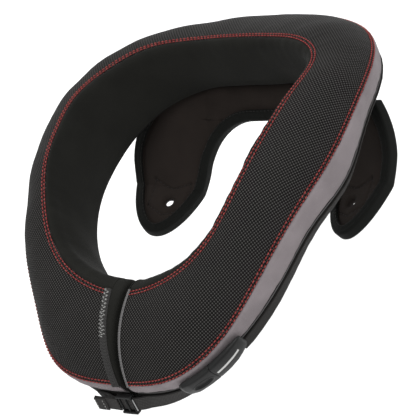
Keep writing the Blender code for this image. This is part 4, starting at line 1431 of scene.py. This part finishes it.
def yoke_height(x, y):
    """Height of the middle of the yoke's sheet: flat tabs, then a climb to the collar's foot."""
    s, collar = settings("yoke_sizes"), settings("collar_sizes")
    inner = s.tab_middle - s.tab_round - s.flare_in
    climb = np.maximum(0.0, y - s.flat_end) / s.climb
    height = s.level + s.tilt * (1 + climb) * np.maximum(0.0, np.abs(x) - inner)
    height = height + s.rise * climb * (1 - s.curve + s.curve * climb)
    ceiling = foot_height(x, y) - 2 * collar.gap - s.thickness / 2
    apart = np.clip(0.5 + (ceiling - height) / (2 * YOKE_EASE), 0, 1)
    eased = ceiling + (height - ceiling) * apart - YOKE_EASE * apart * (1 - apart)
    return np.where(y > s.flat_end, eased, height)


def sheet_middle(plan):
    """Points in the middle of the yoke's sheet above points of the plan, with the normals there."""
    x, y = plan[..., 0], plan[..., 1]
    return np.stack([x, y, yoke_height(x, y)], -1), yoke_normal(x, y)


def yoke_normal(x, y):
    """Upward normal of the yoke's sheet above points of the plan."""
    step = 0.0015
    across = (yoke_height(x + step, y) - yoke_height(x - step, y)) / (2 * step)
    along = (yoke_height(x, y + step) - yoke_height(x, y - step)) / (2 * step)
    return unit(np.stack([-across, -along, np.ones_like(across)], -1))


def back_edge(x):
    """Back edge of the yoke, which follows the hem of the collar."""
    margin = settings("yoke_sizes").back_margin
    low, high = np.zeros_like(x), np.full_like(x, 0.2)
    for _ in range(30):
        y = (low + high) / 2
        inside = np.hypot(x, y) < corners(np.arctan2(x, -y)).under[:, 0] - margin
        low, high = np.where(inside, y, low), np.where(inside, high, y)
    return low


def edge_under_foot(y, widest):
    """Widest the yoke may be where it lies under the collar's foot."""
    x = np.arange(widest, 0.01, -0.0005)
    room = corners(np.arctan2(x, np.full_like(x, -y))).under[:, 0]
    return x[np.argmax(np.hypot(x, y) <= room)]


YOKE_COLUMNS, TIP_ROWS, CORNER_ROWS, BACK_ROWS = 56, 34, 22, 30


def yoke_rows():
    """Rows of one half of the yoke in plan: its place along, its inner and its outer edge."""
    s = settings("yoke_sizes")
    start = s.arch_end - s.corner_y
    tip = np.radians(np.concatenate([np.linspace(87, 30, TIP_ROWS, endpoint=False),
                                    np.linspace(30, 0, TIP_ROWS)]))
    along, half = 1 - np.sin(tip), s.tab_round * np.cos(tip)
    tabs = np.stack([s.tab_tip + (start - s.tab_tip) * along, s.tab_middle - half - s.flare_in * along,
                     s.tab_middle + half + s.flare_out * along], 1)
    inner, outer = tabs[-1, 1:]
    bend = np.radians(np.linspace(4, 88, CORNER_ROWS))
    tucked = outer + (edge_under_foot(s.arch_end, outer) - outer) * np.sin(bend) ** 2
    corner = np.stack([start + s.corner_y * np.sin(bend), inner - s.corner_x * (1 - np.cos(bend)), tucked], 1)
    return np.concatenate([tabs, corner])


def yoke_plan():
    """Plan points of the left half: rows over the tab, then rows over the back."""
    s = settings("yoke_sizes")
    rows = yoke_rows()
    share = np.linspace(0, 1, YOKE_COLUMNS + 1)
    tabs = np.stack([rows[:, 1:2] + (rows[:, 2:] - rows[:, 1:2]) * share,
                     np.repeat(rows[:, :1], len(share), 1)], -1)
    last = rows[-1]
    back = []
    for step in np.linspace(0, 1, BACK_ROWS):
        x = last[2] * (1 - s.narrowing * step) * share
        front = s.arch_end + (last[0] - s.arch_end) * share
        back.append(np.stack([x, front + (back_edge(x) - front) * step], 1))
    return np.concatenate([tabs, np.array(back)])


def distance_to(points, path):
    """Distance of plan points from a broken line."""
    best = np.full(points.shape[:-1], 1e9)
    for a, b in zip(path[:-1], path[1:]):
        ab = b - a
        share = np.clip(((points - a) @ ab) / (ab @ ab), 0, 1)
        best = np.minimum(best, np.linalg.norm(points - a - share[..., None] * ab, axis=-1))
    return best


# Stitched patch: its half width as a share of the tab's rounding, the depth of its points, how far
# it lies outside the hole, and how far it reaches in front of and behind it
PATCH_SHARE, PATCH_POINT, PATCH_SHIFT, PATCH_FRONT, PATCH_BACK = 0.62, 0.0055, 0.0010, 0.0045, 0.0095


def patch_lines():
    """Stitched patch round the hole of the left tab, as broken lines in plan."""
    s = settings("yoke_sizes")
    half, deep, middle = s.tab_round * PATCH_SHARE, PATCH_POINT, s.hole_x + PATCH_SHIFT
    front, back = s.hole_y - PATCH_FRONT, s.hole_y + PATCH_BACK
    upper = [(middle - half, back + deep), (middle, back), (middle + half, back + deep)]
    lower = [(middle - half, front), (middle, front - deep), (middle + half, front)]
    sides = [[(middle + side * half, front), (middle + side * half, back + deep)] for side in (-1, 1)]
    return [np.array(line) for line in (upper, lower, *sides)]


def yoke_edge_plan():
    """Visible edge of the yoke in plan, from one shoulder round both tabs to the other."""
    s = settings("yoke_sizes")
    rows = yoke_rows()
    half = np.concatenate([rows[::-1][:, [2, 0]], rows[:, [1, 0]], [[0.0, s.arch_end]]])
    return np.concatenate([half, half[-2::-1] * (-1, 1)])


QUILT_RISE, QUILT_SINK = 0.0009, 0.0004      # padding inside the binding, and the sheet under it
BINDING_GROOVE, GROOVE_WIDTH = 0.0006, 0.0007
PATCH_GROOVE, PATCH_WIDTH = 0.0008, 0.0008
HOLE_DIP, HOLE_RIM = 0.0013, 0.0022          # how deep and how far round the screw hole presses in


def yoke_lift(x, y):
    """How far the padded faces stand off the flat sheet, with the stitched patch pressed in."""
    s = settings("yoke_sizes")
    here = np.stack([np.abs(x), y], -1)
    edge = yoke_edge_plan()
    edge = edge[: len(edge) // 2 + 1]
    inside = distance_to(here, edge)
    lift = QUILT_RISE * smooth(s.binding * 0.6, s.binding * 2.6, inside) - QUILT_SINK
    lift -= BINDING_GROOVE * np.exp(-((inside - s.binding - 0.0003) / GROOVE_WIDTH) ** 2)
    for line in patch_lines():
        lift -= PATCH_GROOVE * np.exp(-(distance_to(here, line) / PATCH_WIDTH) ** 2)
    hole = np.hypot(np.abs(x) - s.hole_x, y - s.hole_y)
    return lift - HOLE_DIP * smooth(s.hole / 2 + HOLE_RIM, s.hole / 2, hole)


class BRACE_OT_yoke(bpy.types.Operator):
    """Build the padded yoke with its pierced shoulder tabs and stitched patches"""
    bl_idname = "brace.yoke"
    bl_label = "Yoke"

    def execute(self, context):
        s = settings("yoke_sizes")
        half = yoke_plan()
        points, faces, cloth = [], [], []
        for side in (1, -1):
            plan = snapped_to_hole(half * (side, 1), side)
            middle, normal = sheet_middle(plan)
            lift = yoke_lift(plan[..., 0], plan[..., 1])
            start = sum(len(p) for p in points)
            quads = open_quads(plan, side)
            for face in (1, -1):
                points.append((middle + normal * (face * (s.thickness / 2 + lift))[..., None])
                              .reshape(-1, 3))
                cloth.append(plan.reshape(-1, 2))
            count = len(points[-1])
            faces.append(quads + start)
            faces.append(quads[:, ::-1] + start + count)
            faces.append(wall_quads(quads, start, count, plan.reshape(-1, 2)))
        item = make_piece("yoke_cloth", np.concatenate(points), np.concatenate(faces),
                          finish_of("yoke"), np.concatenate(cloth))
        fit_piece(item, "yoke_cloth", "yoke", fill=0.5)
        sew_patches()
        return {"FINISHED"}


def snapped_to_hole(plan, side):
    """Move the points nearest the screw hole onto its circle."""
    s = settings("yoke_sizes")
    centre = np.array([side * s.hole_x, s.hole_y])
    away = plan - centre
    distance = np.linalg.norm(away, axis=-1, keepdims=True)
    radius = s.hole / 2
    near = np.abs(distance - radius) < 0.00045
    return np.where(near, centre + away / np.maximum(distance, 1e-9) * radius, plan)


def open_quads(plan, side):
    """Quads of one half, without those inside the screw hole."""
    s = settings("yoke_sizes")
    quads = grid_faces(*plan.shape[:2])
    if side < 0:
        quads = quads[:, ::-1]
    flat = plan.reshape(-1, 2)
    middle = flat[quads].mean(1) - np.array([side * s.hole_x, s.hole_y])
    return quads[np.hypot(*middle.T) > s.hole / 2 - 0.0001]


def wall_quads(quads, start, count, flat):
    """Side walls between the two faces along every open edge, save the middle line."""
    edges = {}
    for quad in quads.tolist():
        for a, b in zip(quad, quad[1:] + quad[:1]):
            edges[(a, b)] = None
    walls = [(b, a, a + count, b + count) for a, b in edges
             if (b, a) not in edges and not (abs(flat[a, 0]) < 1e-7 and abs(flat[b, 0]) < 1e-7)]
    return np.array(walls) + start


def on_yoke(plan, lift):
    """Points on the upper face of the yoke above a line of the plan, with its normals."""
    middle, normal = sheet_middle(plan)
    rise = settings("yoke_sizes").thickness / 2 + yoke_lift(plan[:, 0], plan[:, 1]) + lift
    return middle + normal * rise[:, None], normal


def sew_patches():
    """Dark stitches along the patches of both tabs."""
    s = settings("stitch_sizes")
    rows = []
    for side in (1, -1):
        for line in patch_lines():
            share = np.linspace(0, len(line) - 1, 60)
            plan = np.stack([np.interp(share, range(len(line)), line[:, k]) for k in (0, 1)], 1)
            path, up = on_yoke(plan * (side, 1), 0.0001)
            rows.append(stitches(path, up, s.fine_pitch, s.fine_thread))
    thread_piece("patch_stitches", rows, finish_of("dark"), "yoke_cloth")


BINDING_STEPS = 620
BINDING_WAVES, BINDING_WAVE, BINDING_SWELL = (0.0043, 0.0067, 0.011), 0.00012, 0.0004
BINDING_ROUND = 0.0008    # rounding of the tape where it folds over the sheet's edge


def binding_path():
    """Visible edge of the yoke in plan at equal steps, and the distance along it."""
    plan = yoke_edge_plan()
    distance = run(plan[:, None], 0)[:, 0]
    at = np.linspace(0, distance[-1], BINDING_STEPS)
    plan = np.stack([np.interp(at, distance, plan[:, k]) for k in (0, 1)], 1)
    return softened(plan[None], 6)[0], at


def binding_fold(at, out, edge, inward, lift):
    """One face of the tape, from the sheet's upper face over its edge to its lower face."""
    (middle, normal), (middle_in, normal_in) = edge, inward
    gap = settings("collar_sizes").gap
    half = settings("yoke_sizes").thickness / 2 + gap
    side = np.concatenate([out, np.zeros((len(out), 1))], 1)
    side = unit(side - normal * (side * normal).sum(1, keepdims=True))
    outer = lift > 0
    wave = BINDING_WAVE * pucker(at, BINDING_WAVES)[:, None] * outer
    line = []
    for share in np.linspace(0, 1, 7, endpoint=False):
        up = unit(normal_in + (normal - normal_in) * share)
        swell = BINDING_SWELL * math.sin(math.pi * min(1.0, share * 1.4)) * outer
        line.append(middle_in + (middle - middle_in) * share + up * (half + lift + swell + wave))
    reach = BINDING_ROUND + lift
    for angle in np.radians(np.linspace(90, 0, 5)):
        line.append(middle + normal * (half - BINDING_ROUND + reach * math.sin(angle))
                    + side * (gap - BINDING_ROUND + reach * math.cos(angle)))
    line += [point - 2 * ((point - middle) * normal).sum(1, keepdims=True) * normal for point in line[::-1]]
    return np.array(line).transpose(1, 0, 2)


class BRACE_OT_binding(bpy.types.Operator):
    """Fold the binding tape over the visible edge of the yoke and sew it down"""
    bl_idname = "brace.binding"
    bl_label = "Binding"

    def execute(self, context):
        s, sewn = settings("yoke_sizes"), settings("stitch_sizes")
        plan, at = binding_path()
        along = unit(np.gradient(plan, axis=0))
        out = np.stack([-along[:, 1], along[:, 0]], 1)
        edge, inward = sheet_middle(plan), sheet_middle(plan - out * s.binding)
        outside, inside = (binding_fold(at, out, edge, inward, lift) for lift in (s.binding_cloth, 0.0))
        rows = np.concatenate([outside, inside[:, ::-1]], 1)
        count, columns = rows.shape[:2]
        cloth = np.stack([at[:, None] * np.ones((1, columns)), run(rows, 1)], -1)
        item = make_piece("binding_cloth", rows, grid_faces(count, columns, wrap=True),
                          finish_of("binding"), cloth, end_faces(count, columns))
        fit_piece(item, "binding_tape", "yoke_binding")
        sewing = stitches(rows[:, 1] + inward[1] * 0.0001, inward[1], sewn.fine_pitch, sewn.fine_thread)
        thread_piece("binding_stitches", [sewing], finish_of("dark"), "binding_tape")
        return {"FINISHED"}


# Stage

CAMERA_AZIMUTH, CAMERA_ELEVATION, CAMERA_ROLL = 57.28, 40.37, -44.85
CAMERA_DISTANCE, CAMERA_FIELD = 1.4207, 10.09
CAMERA_AIM = (0.0023, -0.0224, -0.0001)
FLOOR_DROP = 0.16

Lamp = namedtuple("Lamp", "name azimuth elevation distance size power")
LAMPS = (
    Lamp("key", 100.0, 62.0, 1.6, 1.1, 16.0),
    Lamp("fill", 10.0, 35.0, 1.8, 1.4, 7.0),
    Lamp("back", 215.0, 50.0, 1.7, 1.0, 9.0),
)


def direction(azimuth, elevation):
    """Direction from the middle of the brace, in degrees from the front."""
    a, e = math.radians(azimuth), math.radians(elevation)
    return Vector((math.sin(a) * math.cos(e), -math.cos(a) * math.cos(e), math.sin(e)))


def camera_matrix():
    """Camera at the photograph's angle, with its roll."""
    back = direction(CAMERA_AZIMUTH, CAMERA_ELEVATION)
    level = Vector((math.cos(math.radians(CAMERA_AZIMUTH)), math.sin(math.radians(CAMERA_AZIMUTH)), 0))
    upright = back.cross(level)
    roll = math.radians(CAMERA_ROLL)
    right = level * math.cos(roll) + upright * math.sin(roll)
    turn = Matrix((right, back.cross(right), back)).transposed().to_4x4()
    return Matrix.Translation(Vector(CAMERA_AIM) + back * CAMERA_DISTANCE) @ turn


class BRACE_OT_stage(bpy.types.Operator):
    """Add the pale floor, the soft studio light and the camera"""
    bl_idname = "brace.stage"
    bl_label = "Stage"

    def execute(self, context):
        scene = context.scene
        low = CAD_BOX[0].z - FLOOR_DROP
        shape = bmesh.new()
        bmesh.ops.create_grid(shape, x_segments=1, y_segments=1, size=6.0)
        mesh = bpy.data.meshes.new("floor")
        shape.to_mesh(mesh)
        shape.free()
        floor = bpy.data.objects.new("floor", mesh)
        floor.location.z = low
        scene.collection.objects.link(floor)
        material, shader, wiring = new_material("pale floor", 0.9, specular=0.1)
        grain = wiring.noise(None, 4.0)
        tone = settings("brace_colours").floor
        wiring.feed(shader.inputs["Base Color"], wiring.mix(grain, shaded(tone, 0.99), shaded(tone, 1.0)))
        mesh.materials.append(material)
        world = bpy.data.worlds.new("studio")
        world.use_nodes = True
        world.node_tree.nodes["Background"].inputs["Color"].default_value = (1.0, 1.0, 1.0, 1.0)
        world.node_tree.nodes["Background"].inputs["Strength"].default_value = 0.85
        scene.world = world
        for lamp in LAMPS:
            light = bpy.data.lights.new(lamp.name, "AREA")
            light.size, light.energy = lamp.size, lamp.power
            holder = bpy.data.objects.new(lamp.name, light)
            away = direction(lamp.azimuth, lamp.elevation)
            holder.matrix_world = (Matrix.Translation(away * lamp.distance)
                                   @ away.to_track_quat("Z", "Y").to_matrix().to_4x4())
            scene.collection.objects.link(holder)
        lens = bpy.data.cameras.new("camera")
        lens.angle = math.radians(CAMERA_FIELD)
        lens.clip_start, lens.clip_end = 0.05, 50.0
        camera = bpy.data.objects.new("camera", lens)
        camera.matrix_world = camera_matrix()
        scene.collection.objects.link(camera)
        scene.camera = camera
        scene.view_settings.view_transform = "Standard"
        return {"FINISHED"}


STEPS = (BRACE_OT_lining, BRACE_OT_top_panel, BRACE_OT_side_panel, BRACE_OT_base_panel,
         BRACE_OT_red_stitching, BRACE_OT_end_caps, BRACE_OT_gathered_edge, BRACE_OT_edge_piping,
         BRACE_OT_straps, BRACE_OT_slider, BRACE_OT_buckle, BRACE_OT_yoke, BRACE_OT_binding,
         BRACE_OT_stage)
GROUPS = {"collar_sizes": CollarSizes, "stitch_sizes": StitchSizes, "strap_sizes": StrapSizes,
          "yoke_sizes": YokeSizes, "brace_colours": BraceColours}


class BRACE_PT_panel(bpy.types.Panel):
    """Buttons and sizes of the neck brace"""
    bl_label = "Neck Brace"
    bl_idname = "BRACE_PT_panel"
    bl_space_type = "VIEW_3D"
    bl_region_type = "UI"
    bl_category = "Brace"

    def draw(self, context):
        for step in STEPS:
            self.layout.operator(step.bl_idname)
        for name, group in GROUPS.items():
            box = self.layout.box()
            for key in group.__annotations__:
                box.prop(getattr(context.scene, name), key)


def register():
    for group in GROUPS.values():
        bpy.utils.register_class(group)
    for step in (*STEPS, BRACE_PT_panel):
        bpy.utils.register_class(step)
    for name, group in GROUPS.items():
        setattr(bpy.types.Scene, name, PointerProperty(type=group))


def unregister():
    for name in GROUPS:
        delattr(bpy.types.Scene, name)
    for item in (BRACE_PT_panel, *reversed(STEPS), *reversed(GROUPS.values())):
        bpy.utils.unregister_class(item)


def main():
    """Build the brace and its stage."""
    register()
    bpy.ops.brace.lining()
    bpy.ops.brace.top_panel()
    bpy.ops.brace.side_panel()
    bpy.ops.brace.base_panel()
    bpy.ops.brace.red_stitching()
    bpy.ops.brace.end_caps()
    bpy.ops.brace.gathered_edge()
    bpy.ops.brace.edge_piping()
    bpy.ops.brace.straps()
    bpy.ops.brace.slider()
    bpy.ops.brace.buckle()
    bpy.ops.brace.yoke()
    bpy.ops.brace.binding()
    bpy.ops.brace.stage()


if __name__ == "__main__":
    main()
